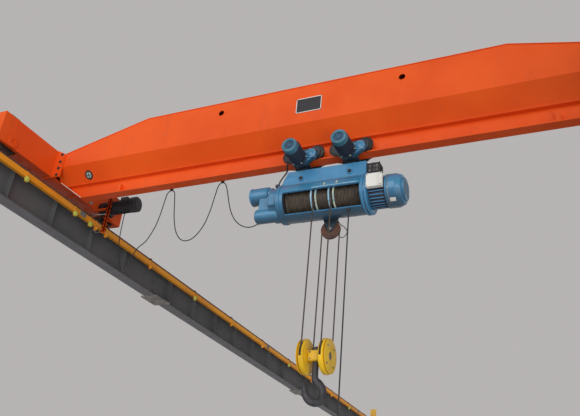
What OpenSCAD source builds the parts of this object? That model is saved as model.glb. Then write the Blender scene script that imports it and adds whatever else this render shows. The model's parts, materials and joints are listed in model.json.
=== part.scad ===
// Overhead travelling bridge crane on two runways, all sizes in millimetres.
// Origin at the underside of the left seat plate, below a joint of two runway beams.
// X runs along the girder, Y along the runways, Z up.

/* [Runways] */
// distance between the two rail centre lines
span = 7500; // [6500:100:12000]
// length of one runway bay
bay_len = 6000; // [5000:500:8000]
// number of whole bays on each side
bays = 3; // [2:1:6]
// height of the runway beam
beam_h = 450; // [380:10:600]
// width of the runway beam flanges
beam_w = 200; // [160:5:260]
// thickness of the runway beam flanges
beam_flange = 14; // [10:1:20]
// thickness of the runway beam web
beam_web = 10; // [8:1:16]
// gap between two beam ends over a seat
beam_gap = 6; // [4:1:12]
// distance between web stiffeners
stiffener_pitch = 783; // [600:1:1000]
// thickness of the seat plates
seat_t = 20; // [12:1:40]
// height of the rail
rail_h = 108; // [90:1:140]
// width of the rail head
rail_head = 60; // [50:1:66]
// distance between conductor hangers
hanger_pitch = 1360; // [1000:10:2000]

/* [Girder] */
// height of the track beam below the box
track_h = 222; // [200:1:260]
// width of the track beam flanges
track_w = 128; // [110:1:150]
// thickness of the track beam flanges
track_flange = 15; // [12:1:20]
// thickness of the track beam web
track_web = 10; // [8:1:14]
// full height of the girder
girder_h = 935; // [800:5:1200]
// height of the fold in the girder webs
fold_h = 405; // [380:1:450]
// width over the girder webs
box_w = 500; // [420:10:600]
// thickness of the girder webs
web_t = 6; // [5:1:10]
// length of the sloping top at each end
taper_run = 1520; // [1200:10:2000]
// distance from rail centre to the end of the track beam
track_end = 534; // [500:1:600]

/* [End carriages] */
// distance between the two wheels of one carriage
wheel_base = 2000; // [1800:50:2600]
// length of one end carriage
carriage_len = 2450; // [2300:10:3200]
// width of the end carriage box
carriage_w = 254; // [240:2:320]
// height of the end carriage box
carriage_h = 400; // [380:5:480]
// tread diameter of the bridge wheels
wheel_d = 270; // [250:1:290]
// width of the wheel tread between its rims
wheel_tread = 70; // [66:1:80]
// diameter of the rims of the bridge wheels
wheel_rim_d = 300; // [285:1:310]

/* [Trolley] */
// tread diameter of the trolley wheels
trolley_wheel_d = 154; // [140:1:170]
// rim diameter of the trolley wheels
trolley_rim_d = 190; // [175:1:195]
// distance between the axles of one bogie
bogie_base = 320; // [280:5:380]
// distance from rail centre to the first bogie
bogie_1_x = 3700; // [3000:5:4500]
// distance between the two bogies
bogie_pitch = 565; // [540:5:700]
// way of the trolley from here to its left stop
travel_left = 2290; // [500:10:2400]
// way of the trolley from here to its right stop
travel_right = 1830; // [500:10:2400]

/* [Hoist] */
// depth of the drum axis below the track beam
hoist_drop = 495; // [480:5:560]
// radius of the hoist casing
casing_r = 215; // [210:1:240]
// radius of the rope centre line on the drum
rope_pitch_r = 150; // [140:1:160]
// diameter of the wire rope
rope_d = 15; // [12:1:16]
// distance between two rope turns
rope_pitch = 15.5; // [15:0.1:18]
// depth of the hook block axle below the track beam
block_drop = 2217; // [1400:1:4000]
// outer radius of the sheave covers
cover_r = 172; // [168:1:180]
// width of the sheave covers
cover_w = 62; // [58:1:70]
// turn of the hook about its shank
hook_turn = 50; // [0:5:180]

/* [Cables] */
// diameter of the supply cable hung in loops
festoon_d = 12; // [10:1:16]
// diameter of the pendant cable
pendant_d = 14; // [10:1:18]
// length of the pendant cable below the hoist
pendant_len = 3480; // [2800:10:3800]

/* [Hidden] */
$fn = 96;
eps = 0.01;
fit = 0.05;
rolling_gap = 0.1;
bridge_y = -2600;
runway_y0 = -6000;
runway_y1 = runway_y0 + bays * bay_len;
beam_top = seat_t + beam_h;
rail_top = beam_top + rail_h;
stop_len = 150;
wheel_z = rail_top + wheel_d / 2 + rolling_gap;
carriage_z = rail_top + 60;
track_z = carriage_z - 260;
track_top = track_z + track_h;
fold_z = track_z + fold_h;
girder_top = track_z + girder_h;
plate_t = 8;
web_top = girder_top - plate_t;
half_box = box_w / 2;
half_track = track_w / 2;
over_run = carriage_w / 2;
taper_z = web_top - 0.254 * (taper_run + over_run);
slant_x = 150;
slant_top_x = track_end - (track_end - slant_x) * track_h / (carriage_z - track_z) + 0.3;
joint_t = 12;
joint_reach = over_run + 135;
slope_len = norm([fold_z - track_top, half_box - half_track]);
web_slice = web_t * slope_len / (fold_z - track_top);
joint_y = half_box + joint_t;
bar_x = 200;
bar_w = 56;
bar_h = 101;
bar_z = seat_t + beam_h - beam_flange - 7 - bar_h;
drive_y = 800;
drive_z = rail_top + 130;
drive_x = [over_run + 113, over_run + 225, over_run + 533];
flange_top = track_z + track_flange;
trolley_axle_z = flange_top + trolley_wheel_d / 2 + rolling_gap;
bogie_x = [bogie_1_x, bogie_1_x + bogie_pitch];
drum_z = track_z - hoist_drop;
block_z = track_z - block_drop;
pin_z = track_z - 224;
hoist_x = bogie_1_x + 300;
rope_x = [hoist_x - 100, hoist_x + 100];
casing_x0 = hoist_x - 485;
casing_x1 = hoist_x + 425;
casing_disc = 42;
ring_x = [casing_x1 + 12, casing_x1 + 48];
ring_w = 22;
motor_x0 = casing_x1 + 75;
motor_x1 = motor_x0 + 173;
equaliser_y = 150;
equaliser_r = 100;
equaliser_z = drum_z - 290;
pendant_top = drum_z - 225;
wire_z = flange_top + 37;
wire_y = 125;
carrier_x = [1820, 2555];
festoon_top = wire_z - 34;
pendant_x = hoist_x + 283;
pendant_y = -90;
orange = [0.88, 0.34, 0.12];
grey = [0.27, 0.27, 0.28];
blue = [0.24, 0.50, 0.68];
dark = [0.10, 0.11, 0.13];
steel = [0.45, 0.44, 0.42];
yellow = [0.93, 0.74, 0.10];

module along_x(a, b) {
  translate([a, 0, 0]) rotate([90, 0, 90]) linear_extrude(b - a) children();
}

module along_y(a, b) {
  translate([0, b, 0]) rotate([90, 0, 0]) linear_extrude(b - a) children();
}

module rod_x(a, b, y, z, r) {
  translate([a, y, z]) rotate([0, 90, 0]) cylinder(h = b - a, r = r);
}

module rod_y(a, b, x, z, r) {
  translate([x, a, z]) rotate([-90, 0, 0]) cylinder(h = b - a, r = r);
}

function around(c, half) = [c - half, c + half];

module block(x, y, z) {
  translate([x[0], y[0], z[0]]) cube([x[1] - x[0], y[1] - y[0], z[1] - z[0]]);
}

module both_ends() {
  children();
  translate([span, 0, 0]) mirror([1, 0, 0]) children();
}

module both_sides() {
  children();
  mirror([0, 1, 0]) children();
}

module on_bridge() {
  translate([0, bridge_y, 0]) children();
}

module on_drum() {
  translate([0, bridge_y, drum_z]) children();
}

// one runway beam with its stiffeners, built from y = 0 at the height of its seat
module bay_beam() {
  last = bay_len - 260;
  along_y(beam_gap / 2, bay_len - beam_gap / 2) {
    translate([-beam_w / 2, 0]) square([beam_w, beam_flange]);
    translate([-beam_w / 2, beam_h - beam_flange]) square([beam_w, beam_flange]);
    translate([-beam_web / 2, 0]) square([beam_web, beam_h]);
  }
  for (y = [260:stiffener_pitch:last])
    block([-beam_w / 2 + 8, beam_w / 2 - 8], [y - 4, y + 4],
      [beam_flange / 2, beam_h - beam_flange / 2]);
}

module runway_beams(x) {
  color(grey)
  for (k = [0:bays - 1]) translate([x, runway_y0 + k * bay_len, seat_t]) bay_beam();
}

module left_runway_beams() {
  runway_beams(0);
}

module right_runway_beams() {
  runway_beams(span);
}

module rail(x) {
  foot = rail_head * 0.9;
  head = rail_head / 2;
  color([0.42, 0.24, 0.20])
  translate([x, 0, beam_top])
  along_y(runway_y0 + stop_len + 10, runway_y1 - stop_len - 10)
  polygon([[-foot, 0], [foot, 0], [foot, 8], [14, 18], [8, 30], [8, 72], [head, 84],
    [head, rail_h - 4], [head - 4, rail_h], [4 - head, rail_h], [-head, rail_h - 4],
    [-head, 84], [-8, 72], [-8, 30], [-14, 18], [-foot, 8]]);
}

module left_rail() {
  rail(0);
}

module right_rail() {
  rail(span);
}

module seat_plates() {
  color(steel)
  for (x = [0, span], k = [0:bays])
    block(around(x, 150), around(runway_y0 + k * bay_len, 200), [0, seat_t]);
}

// one end stop, its face towards +Y
module end_stop() {
  high = carriage_z + 300 - beam_top;
  rib = high - 28;
  block([-90, 90], [stop_len - 16, stop_len], [beam_top, beam_top + high]);
  for (x = [-60, 60])
    translate([x - 6, 0, beam_top]) rotate([90, 0, 90]) linear_extrude(12)
      polygon([[4, 0], [stop_len - 16, 0], [stop_len - 16, rib], [stop_len - 60, rib]]);
}

module runway_end_stops() {
  color([0.75, 0.55, 0.15])
  both_ends() {
    translate([0, runway_y0, 0]) end_stop();
    translate([0, runway_y1, 0]) mirror([0, 1, 0]) end_stop();
  }
}

module conductor_bar() {
  slot = 12;
  color([0.85, 0.52, 0.10])
  difference() {
    block([bar_x - bar_w / 2, bar_x + bar_w / 2], [runway_y0 + 100, runway_y1 - 100],
      [bar_z, bar_z + bar_h]);
    block([bar_x - slot / 2, bar_x + slot / 2], [runway_y0, runway_y1],
      [bar_z - 1, bar_z + 28]);
  }
}

module at_hangers() {
  first = bridge_y - 725 - hanger_pitch;
  for (y = [first:hanger_pitch:runway_y1 - 300]) translate([bar_x, y, 0]) children();
  translate([bar_x, bridge_y + 866, 0]) children();
}

module conductor_hangers() {
  top = bar_z + bar_h;
  side = bar_w / 2;
  color(steel)
  at_hangers() {
    block([40 - bar_x, side + 6], [-20, 20], [top, top + 7]);
    block([side, side + 6], [-20, 20], [bar_z - 66, top + 7]);
    block([-side - 4, -side], [-20, 20], [bar_z + 60, top + 7]);
  }
}

module conductor_knobs() {
  color([0.75, 0.76, 0.25])
  at_hangers() {
    rod_x(bar_w / 2 + 6, bar_w / 2 + 34, 0, bar_z - 36, 30);
    rod_x(bar_w / 2 + 34, bar_w / 2 + 42, 0, bar_z - 36, 16);
  }
}

// outline of the girder seen along Y, up to the top of its webs
module girder_outline() {
  s = span;
  polygon([[-over_run, carriage_z], [slant_x, carriage_z], [slant_top_x, track_top],
    [s - slant_top_x, track_top], [s - slant_x, carriage_z], [s + over_run, carriage_z],
    [s + over_run, taper_z], [s - taper_run, web_top], [taper_run, web_top],
    [-over_run, taper_z]]);
}

// the far web as one bent sheet, with its inspection holes
module girder_web() {
  rise = fold_z - track_top;
  run = half_box - half_track;
  in_track = half_track - web_slice;
  in_fold = fold_z + web_t * (slope_len - rise) / run;
  difference() {
    intersection() {
      along_y(0, half_box + 1) girder_outline();
      union() {
        along_x(slant_x, span - slant_x)
          polygon([[half_track, track_top], [half_box, fold_z], [half_box, girder_top],
            [half_box - web_t, girder_top], [half_box - web_t, in_fold],
            [in_track, track_top]]);
        both_ends() block([-over_run - 1, slant_x + eps], [half_box - web_t, half_box],
          [carriage_z - 1, girder_top]);
      }
    }
    for (x = [span / 2 - 1125, span / 2 + 1125])
      rod_y(0, half_box + 1, x, track_z + 780, 37.5);
    for (x = [640, span - 640]) rod_y(0, half_box + 1, x, track_z + 290, 47);
  }
}

module girder_web_near() {
  color(orange) on_bridge() mirror([0, 1, 0]) girder_web();
}

module girder_web_far() {
  color(orange) on_bridge() girder_web();
}

module girder_top_plate() {
  s = span;
  lap = half_box + 8;
  color(orange)
  on_bridge() difference() {
    along_y(-lap, lap)
      polygon([[-over_run, taper_z], [taper_run, web_top], [s - taper_run, web_top],
        [s + over_run, taper_z], [s + over_run, taper_z + plate_t + 0.3],
        [s - taper_run, girder_top], [taper_run, girder_top],
        [-over_run, taper_z + plate_t + 0.3]]);
    both_ends() both_sides()
      block([-over_run - 1, joint_reach + 2], [half_box, lap + 1], [carriage_z, girder_top]);
  }
}

// slanting end plate, box floor and end wall at both ends
module girder_end_plates() {
  inner = half_box - web_t;
  low = half_track - web_slice;
  high = low + (carriage_z - track_top) * (half_box - half_track) / (fold_z - track_top);
  color(orange)
  on_bridge() both_ends() {
    intersection() {
      along_y(-100, 100)
        polygon([[track_end, track_z], [slant_x, carriage_z], [slant_x - 12, carriage_z],
          [track_end - 12, track_z]]);
      union() {
        block([0, track_end + 1], [-half_track, half_track], [track_z, track_top]);
        along_x(0, track_end) polygon([[-low, track_top - eps], [low, track_top - eps],
          [high, carriage_z], [-high, carriage_z]]);
      }
    }
    block([-over_run, slant_x - 1], [-inner, inner], [carriage_z, carriage_z + plate_t]);
    block([-over_run, -over_run + plate_t], [-inner, inner],
      [carriage_z + plate_t, taper_z]);
  }
}

module track_beam() {
  s = span;
  color(orange)
  on_bridge() {
    block([track_end, s - track_end], [-half_track, half_track], [track_z, flange_top]);
    block([slant_top_x + 22, s - slant_top_x - 22], [-half_track, half_track],
      [track_top - track_flange, track_top]);
    along_y(-track_web / 2, track_web / 2)
      polygon([[track_end, track_z], [s - track_end, track_z],
        [s - slant_top_x, track_top], [slant_top_x, track_top]]);
  }
}

// outline of a bolted joint plate, seen along Y
module joint_outline() {
  low = carriage_z - 8;
  high = carriage_z + carriage_h + 10;
  difference() {
    polygon([[-over_run - 10, low], [joint_reach, low], [joint_reach, high - 70],
      [over_run, high], [-over_run - 10, high]]);
    for (rise = [18, 122, 222, 336])
      translate([joint_reach - 49, carriage_z + rise]) circle(r = 11);
  }
}

module girder_joint_plates() {
  color(orange)
  on_bridge() both_ends() both_sides() along_y(half_box, joint_y) joint_outline();
}

// far half of the left end carriage
module carriage_half() {
  y0 = joint_y + joint_t;
  y1 = carriage_len / 2;
  wall = plate_t;
  wheel_y = wheel_base / 2;
  slot = wheel_rim_d / 2;
  along_y(joint_y, y0) joint_outline();
  difference() {
    block([-over_run, over_run], [y0, y1], [carriage_z, carriage_z + carriage_h]);
    block([wall - over_run, over_run - wall], [y0 + wall, y1 - wall],
      [carriage_z + wall, carriage_z + carriage_h - wall]);
    block([-75, 75], around(wheel_y, slot), [carriage_z - 1, carriage_z + wall + 1]);
    rod_x(-over_run - 1, over_run + 1, wheel_y, wheel_z, 30);
  }
}

module carriage_left_near() {
  color(orange) on_bridge() mirror([0, 1, 0]) carriage_half();
}

module carriage_left_far() {
  color(orange) on_bridge() carriage_half();
}

module carriage_right_near() {
  color(orange)
  on_bridge() translate([span, 0, 0]) mirror([1, 0, 0]) mirror([0, 1, 0]) carriage_half();
}

module carriage_right_far() {
  color(orange) on_bridge() translate([span, 0, 0]) mirror([1, 0, 0]) carriage_half();
}

module carriage_buffers() {
  y0 = carriage_len / 2;
  z = carriage_z + 205;
  color(dark)
  on_bridge() both_ends() both_sides() {
    rod_y(y0, y0 + 14, 0, z, 70);
    rod_y(y0 + 14, y0 + 64, 0, z, 52);
  }
}

module wheel_axles() {
  color(steel)
  on_bridge() both_ends() both_sides() {
    rod_x(-over_run - 8, over_run, wheel_base / 2, wheel_z, 30);
  }
}

// pair of flanged wheels on one axis line, one on each rail
module wheel_pair(y) {
  tread = wheel_tread / 2;
  rim = tread + 18;
  color([0.20, 0.19, 0.19])
  on_bridge()
  for (x = [0, span]) difference() {
    union() {
      rod_x(x - tread, x + tread, y, wheel_z, wheel_d / 2);
      rod_x(x - rim, x - tread, y, wheel_z, wheel_rim_d / 2);
      rod_x(x + tread, x + rim, y, wheel_z, wheel_rim_d / 2);
      rod_x(x - 68, x + 68, y, wheel_z, 55);
    }
    rod_x(x - 69, x + 69, y, wheel_z, 30 + fit);
  }
}

module bridge_wheels_near() {
  wheel_pair(-wheel_base / 2);
}

module bridge_wheels_far() {
  wheel_pair(wheel_base / 2);
}

module drive_gearboxes() {
  color(dark)
  on_bridge() both_ends() {
    rod_x(over_run, drive_x[0], drive_y, drive_z, 100);
    block([over_run, drive_x[0] - 25], [drive_y - 70, drive_y + 150],
      [drive_z - 60, drive_z + 60]);
    rod_x(drive_x[0], drive_x[1] - 22, drive_y, drive_z, 78);
    rod_x(drive_x[1] - 22, drive_x[1], drive_y, drive_z, 98);
  }
}

// finned motor body along X: core radius, radius over the fins, number and thickness of fins
module finned_core(a, b, core, over, count, thick = 5) {
  along_x(a, b) {
    circle(r = core);
    for (k = [0:count - 1]) rotate(k * 360 / count) translate([0, -thick / 2])
      square([over, thick]);
  }
}

module rod_z(x, y, a, b, r) {
  translate([x, y, a]) cylinder(h = b - a, r = r);
}

module drive_motors() {
  x0 = drive_x[1];
  x1 = drive_x[2];
  color(dark)
  on_bridge() both_ends() {
    translate([0, drive_y, drive_z]) finned_core(x0, x1, 88, 98, 24);
    rod_x(x1, x1 + 85, drive_y, drive_z, 102);
    rod_x(x1 + 85, x1 + 100, drive_y, drive_z, 70);
    block([x0 + 118, x0 + 238], [drive_y - 60, drive_y + 60], [drive_z + 80, drive_z + 130]);
    rod_z(x0 + 199, drive_y, drive_z - 118, drive_z - 80, 13);
  }
}

// perforated angle that tows the current collector, with the collector arm
module collector_bracket() {
  arm_z = bar_z - 84;
  y0 = drive_y - 148;
  y1 = y0 + 45;
  color(orange)
  on_bridge() difference() {
    union() {
      block([60, 377], [y0, y1], [carriage_z - 10, carriage_z]);
      block([333, 377], [y0, y0 + 6], [arm_z - 14, drive_z + 110]);
      block([371, 377], [y0, y1], [arm_z - 14, drive_z + 110]);
    }
    for (z = [arm_z + 60:60:drive_z + 90]) rod_y(y0 - 10, y0 + 10, 352, z, 8);
  }
  color(steel)
  on_bridge() {
    rod_x(bar_x - 12, 371, y0 + 22, arm_z, 8);
    block([bar_x - 1, bar_x + 1], [y0 - 10, y0 + 54], [arm_z, bar_z + 14]);
  }
}

module rating_plate() {
  color([0.08, 0.08, 0.09])
  on_bridge() block(around(span / 2 + 40, 155), [-half_box - 3, -half_box],
    [girder_top - 385, girder_top - 185]);
}

module trolley_stops() {
  first = bogie_x[0] - bogie_base / 2 - trolley_rim_d / 2 - travel_left;
  last = bogie_x[1] + bogie_base / 2 + trolley_rim_d / 2 + travel_right;
  color([0.55, 0.20, 0.10])
  on_bridge() both_sides() {
    block([first - 50, first], [track_web / 2, half_track], [flange_top, flange_top + 100]);
    block([last, last + 50], [track_web / 2, half_track], [flange_top, flange_top + 100]);
  }
}

module festoon_wire() {
  ends = track_end + 26;
  color(steel)
  on_bridge() {
    rod_x(ends, span - ends, wire_y, wire_z, 3);
    both_ends() block([ends - 8, ends], [half_track, wire_y + 12], [track_z, wire_z + 14]);
  }
}

module cable_carrier(x) {
  color(dark)
  on_bridge() difference() {
    block([x - 20, x + 20], [wire_y - 10, wire_y + 10],
      [festoon_top + festoon_d / 2, wire_z + 14]);
    rod_x(x - 21, x + 21, wire_y, wire_z, 4);
  }
}

module cable_carrier_1() {
  cable_carrier(carrier_x[0]);
}

module cable_carrier_2() {
  cable_carrier(carrier_x[1]);
}

// side plate of a bogie seen along Y
module bogie_side() {
  z = trolley_axle_z;
  a = bogie_base / 2;
  difference() {
    polygon([[-a - 45, z + 30], [-a - 15, z + 52], [a + 15, z + 52], [a + 45, z + 30],
      [a + 45, z - 45], [90, z - 152], [-90, z - 152], [-a - 45, z - 45]]);
    for (x = [-a, a]) translate([x, z]) circle(r = 20);
  }
}

module bogie_frames() {
  z0 = trolley_axle_z - 152;
  color(blue)
  on_bridge()
  for (x = bogie_x) translate([x, 0, 0]) {
    both_sides() {
      along_y(86, 98) bogie_side();
      for (s = [-1, 1]) {
        rod_y(22, 98, s * bogie_base / 2, trolley_axle_z, 20);
        rod_y(20, 26, s * bogie_base / 2, trolley_axle_z, 30);
      }
      difference() {
        union() {
          block([-50, 50], [20, 34], [pin_z, z0]);
          rod_y(20, 34, 0, pin_z, 50);
        }
        rod_y(19, 35, 0, pin_z, 20);
      }
    }
    block([-90, 90], [-98, 98], [z0 - 14, z0]);
  }
}

// the two wheels of one axle line, one on each side of the track
module trolley_wheels(x) {
  color([0.13, 0.13, 0.14])
  on_bridge() both_sides() difference() {
    union() {
      rod_y(28, 67, x, trolley_axle_z, trolley_wheel_d / 2);
      rod_y(67, 81, x, trolley_axle_z, trolley_rim_d / 2);
    }
    rod_y(27, 82, x, trolley_axle_z, 20 + fit);
  }
}

module trolley_wheels_1() {
  trolley_wheels(bogie_x[0] - bogie_base / 2);
}

module trolley_wheels_2() {
  trolley_wheels(bogie_x[0] + bogie_base / 2);
}

module trolley_wheels_3() {
  trolley_wheels(bogie_x[1] - bogie_base / 2);
}

module trolley_wheels_4() {
  trolley_wheels(bogie_x[1] + bogie_base / 2);
}

module travel_gearboxes() {
  z = track_z - 15;
  color(blue)
  on_bridge()
  for (x = bogie_x) translate([x, 0, 0]) {
    rod_y(-158, -98, 120, trolley_axle_z - 52, 62);
    rod_y(-164, -158, 120, trolley_axle_z - 52, 40);
    block([-10, 120], [-165, -98], [z - 50, z + 62]);
    rod_y(-165, -98, -10, z, 78);
  }
}

module travel_motors() {
  z = track_z - 15;
  color([0.10, 0.20, 0.30])
  on_bridge()
  for (x = bogie_x) translate([x - 10, 0, z]) {
    rod_y(-185, -165, 0, 0, 100);
    rotate([0, 0, 90]) finned_core(-385, -185, 84, 96, 24);
    rod_y(-450, -385, 0, 0, 88);
    block([-46, 46], [-330, -230], [80, 116]);
  }
}

// the bogies hang from its two plates by cross bolts, the casing below fits its underside
module suspension_beam() {
  x0 = bogie_x[0] - 170;
  x1 = bogie_x[1] + 177;
  top = track_z - 118;
  color([0.36, 0.60, 0.76])
  on_bridge() difference() {
    union() {
      both_sides() along_y(60, 72)
        polygon([[x0 - 75, drum_z + 190], [x1, drum_z + 190], [x1, top], [x0, top]]);
      block([x1 - 12, x1], [-60, 60], [drum_z + 190, top]);
      block([x0 + 20, x0 + 32], [-60, 60], [drum_z + 190, top]);
      for (x = bogie_x) {
        rod_y(-82, 82, x, pin_z, 20);
        both_sides() rod_y(72, 88, x, pin_z, 30);
      }
    }
    rod_x(x0 - 100, x1 + 100, 0, drum_z, casing_r);
    rod_x(x0 - 100, casing_x0, 0, drum_z, casing_r + 8 + fit);
    rod_x(ring_x[0], x1 + 1, 0, drum_z, casing_r + 10);
  }
}

// round shell open at the lower front, end discs, two flange rings and the pendant gland
module hoist_casing() {
  r = casing_r;
  disc = casing_disc;
  color(blue)
  on_drum() difference() {
    union() {
      along_x(casing_x0, casing_x1) difference() {
        circle(r = r);
        polygon([[0, 0], [-300, 44], [-300, -300], [-173, -300]]);
      }
      rod_x(casing_x0, casing_x0 + disc, 0, 0, r);
      rod_x(casing_x1, motor_x0, 0, 0, r);
      for (x = ring_x) rod_x(x, x + ring_w, 0, 0, r + 10);
      rod_z(pendant_x, pendant_y, pendant_top - drum_z, -180, 16);
    }
    rod_x(casing_x0 + disc, casing_x1, 0, 0, r - 6);
    rod_x(casing_x0 - 1, casing_x0 + disc + 1, 0, 0, 60);
    rod_x(casing_x1 - 1, motor_x0 + 1, 0, 0, 140);
  }
}

module hoist_gearbox() {
  x0 = casing_x0 - 140;
  x1 = casing_x0 - 42;
  color(blue)
  on_drum() difference() {
    union() {
      along_x(x0, x1) intersection() {
        circle(r = 192);
        square([370, 372], center = true);
      }
      along_x(x1, casing_x0) circle(r = casing_r + 8);
      rod_x(x0 - 262, x0, -50, 118, 102);
      rod_x(x0 - 274, x0 - 262, -50, 118, 90);
      rod_x(x0 - 172, x1, -60, -145, 82);
      rod_x(x0 - 182, x0 - 172, -60, -145, 72);
      rod_x(x0 - 30, x0, wire_y, -73, 15);
    }
    rod_x(x1 - 10, casing_x0 + 7, 0, 0, 40);
  }
}

module hoist_motor() {
  color(dark)
  on_drum() {
    finned_core(motor_x0, motor_x1, 148, 170, 28, 15);
    rod_x(casing_x1, motor_x0, 0, 0, 139);
    block([motor_x1 - 150, motor_x1 - 15], [-171, -100], [-40, 80]);
  }
}

module motor_cover() {
  color(blue)
  on_drum() {
    rotate([0, 90, 0]) translate([0, 0, motor_x1]) rotate_extrude()
      polygon([[0, 0], [180, 0], [180, 130], [172, 156], [154, 172], [0, 172]]);
    rod_x(motor_x1 + 172, motor_x1 + 192, 0, 0, 128);
  }
}

module terminal_box() {
  color([0.80, 0.78, 0.72])
  on_drum() {
    block([motor_x0 + 2, motor_x1], [-240, -184], [-56, 102]);
    block([motor_x1 - 140, motor_x1 - 25], [-184, -171], [-30, 70]);
  }
}

module control_box() {
  x0 = bogie_x[1] + 177;
  color(dark)
  on_bridge() block([x0, x0 + 143], [-40, 90], [track_z - 266, track_z - 130]);
}

// open rings that lead the rope off the drum, slotted at the front for the rope
module rope_guides() {
  inner = rope_pitch_r + rope_d / 2 + 5;
  outer = inner + 16;
  color([0.62, 0.70, 0.55])
  on_drum()
  for (x = rope_x) difference() {
    union() {
      rod_x(x - 34, x + 34, 0, 0, outer);
      block([x - 34, x + 34], [-30, 30], [inner, casing_r - 8.3]);
    }
    rod_x(x - 35, x + 35, 0, 0, inner);
    block([x - 17, x + 17], [-outer - 1, 0], [-outer - 1, 110]);
  }
}

module equaliser_sheave() {
  drop = drum_z - equaliser_z;
  high = drop - 100;
  color([0.40, 0.25, 0.20])
  translate([hoist_x, bridge_y + equaliser_y, equaliser_z]) rotate([90, 0, 0])
  difference() {
    cylinder(h = 36, r = equaliser_r + 9, center = true);
    rotate_extrude() translate([equaliser_r + 3, 0])
      polygon([[-11, -8], [20, -14], [20, 14], [-11, 8]]);
    cylinder(h = 40, r = 20, center = true);
  }
  color([0.12, 0.25, 0.38])
  translate([hoist_x, bridge_y, equaliser_z]) {
    rod_y(120, 180, 0, 0, 20);
    difference() {
      for (y = [120, 172]) along_y(y, y + 8)
        polygon([[-75, high], [-70, 60], [-36, -10], [-20, -32], [20, -32], [36, -10],
          [70, 60], [75, high]]);
      rod_x(-76, 76, 0, drop, casing_r + fit);
    }
  }
  color([0.27, 0.22, 0.17])
  translate([hoist_x, bridge_y + equaliser_y, equaliser_z]) rotate([90, 0, 0])
    rotate_extrude(angle = 180) translate([equaliser_r, 0]) circle(r = rope_d / 2);
}

module rope_drum() {
  x0 = casing_x0 + casing_disc + 10;
  color([0.35, 0.33, 0.30])
  on_drum() {
    rod_x(x0, casing_x1 - 13, 0, 0, rope_pitch_r - rope_d / 2);
    rod_x(x0, x0 + 16, 0, 0, rope_pitch_r + 6);
    rod_x(casing_x0 - 45, x0, 0, 0, 40 - fit);
  }
}

// rope turns on the drum as rings, each half ends one turn before its fall
module drum_rope() {
  turns = 19;
  band = rope_d / 2 - 0.1;
  color([0.27, 0.22, 0.17])
  on_drum() rotate([0, 90, 0])
  for (side = [0, 1]) rotate_extrude() {
    way = side == 0 ? -rope_pitch : rope_pitch;
    for (k = [1:turns]) translate([rope_pitch_r, rope_x[side] + k * way])
      circle(r = rope_d / 2);
    translate([rope_pitch_r - band, rope_x[side] + min(way, turns * way)])
      square([band, (turns - 1) * rope_pitch]);
  }
}

module at_block() {
  translate([0, bridge_y, block_z]) children();
}

// round yellow covers, open at the top front and back where the ropes go in
module sheave_covers() {
  half = cover_w / 2;
  color(yellow)
  at_block() {
    for (x = rope_x) difference() {
      rod_x(x - half, x + half, 0, 0, cover_r);
      rod_x(x - half + 5, x + half - 5, 0, 0, cover_r - 5);
      both_sides() block([x - 13, x + 13], [126, cover_r + 1], [-30, cover_r]);
      rod_x(x - half - 1, x + half + 1, 0, 0, 25);
    }
    difference() {
      block([rope_x[0] + half, rope_x[1] - half], [-58, 58], [-52, 52]);
      rod_x(rope_x[0], rope_x[1], 0, 0, 25);
      rod_z(hoist_x, 0, -60, 60, 30 + fit);
    }
  }
}

module block_axle() {
  half = cover_w / 2;
  color(steel)
  at_block() {
    for (s = [-1, 1]) {
      x = hoist_x + s * 30;
      far = hoist_x + s * (100 + half + 14);
      rod_x(min(x + s, far), max(x + s, far), 0, 0, 25);
      rod_x(min(far, far - s * 14), max(far, far - s * 14), 0, 0, 38);
    }
  }
}

module block_rope() {
  color([0.27, 0.22, 0.17])
  at_block()
  for (x = rope_x) translate([x, 0, 0]) rotate([90, 0, 90])
    rotate_extrude(angle = -180) translate([rope_pitch_r, 0]) circle(r = rope_d / 2);
}

module hook_sheaves() {
  color([0.30, 0.24, 0.20])
  at_block()
  for (x = rope_x) translate([x, 0, 0]) rotate([0, 90, 0]) difference() {
    cylinder(h = 36, r = rope_pitch_r + 9, center = true);
    rotate_extrude() translate([rope_pitch_r, 0])
      polygon([[-9, -9], [20, -15], [20, 15], [-9, 9]]);
    cylinder(h = 40, r = 25 + fit, center = true);
  }
}

module hook() {
  bowl = 94;
  thick = 38;
  bowl_z = -331;
  color([0.17, 0.17, 0.19])
  translate([hoist_x, bridge_y, block_z]) rotate([0, 0, hook_turn]) {
    rotate_extrude() polygon([[0, 84], [44, 84], [44, 57], [30, 57], [30, -172],
      [42, -236], [0, -236]]);
    translate([0, 0, -238]) sphere(r = 45);
    translate([0, 0, bowl_z]) rotate([90, 0, 0]) rotate([0, 0, -188])
      rotate_extrude(angle = 272) translate([bowl, 0]) circle(r = thick);
    translate([-bowl + 1, 0, bowl_z + 13]) {
      sphere(r = thick + 1.5);
      rotate([0, -18, 0]) cylinder(h = 70, r1 = thick - 1, r2 = 20);
    }
  }
}

module rope_falls_front() {
  color([0.27, 0.22, 0.17])
  for (x = rope_x) rod_z(x, bridge_y - rope_pitch_r, block_z, drum_z, rope_d / 2);
}

module rope_falls_back() {
  color([0.27, 0.22, 0.17])
  for (x = rope_x)
    rod_z(x, bridge_y + rope_pitch_r, block_z, equaliser_z, rope_d / 2);
}

// points between hand-chosen ones on a smooth curve through all of them
function spline(p, i, t) =
  let (a = p[max(i - 1, 0)], b = p[i], c = p[i + 1], d = p[min(i + 2, len(p) - 1)])
  0.5 * ((2 * b) + (c - a) * t + (2 * a - 5 * b + 4 * c - d) * t * t
    + (3 * b - a - 3 * c + d) * t * t * t);

function smooth(p, n) = concat(
  [for (i = [0:len(p) - 2], k = [0:n - 1]) spline(p, i, k / n)], [p[len(p) - 1]]);

function unit(v) = v / norm(v);

function tangent(p, i) = unit(p[min(i + 1, len(p) - 1)] - p[max(i - 1, 0)]);

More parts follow.
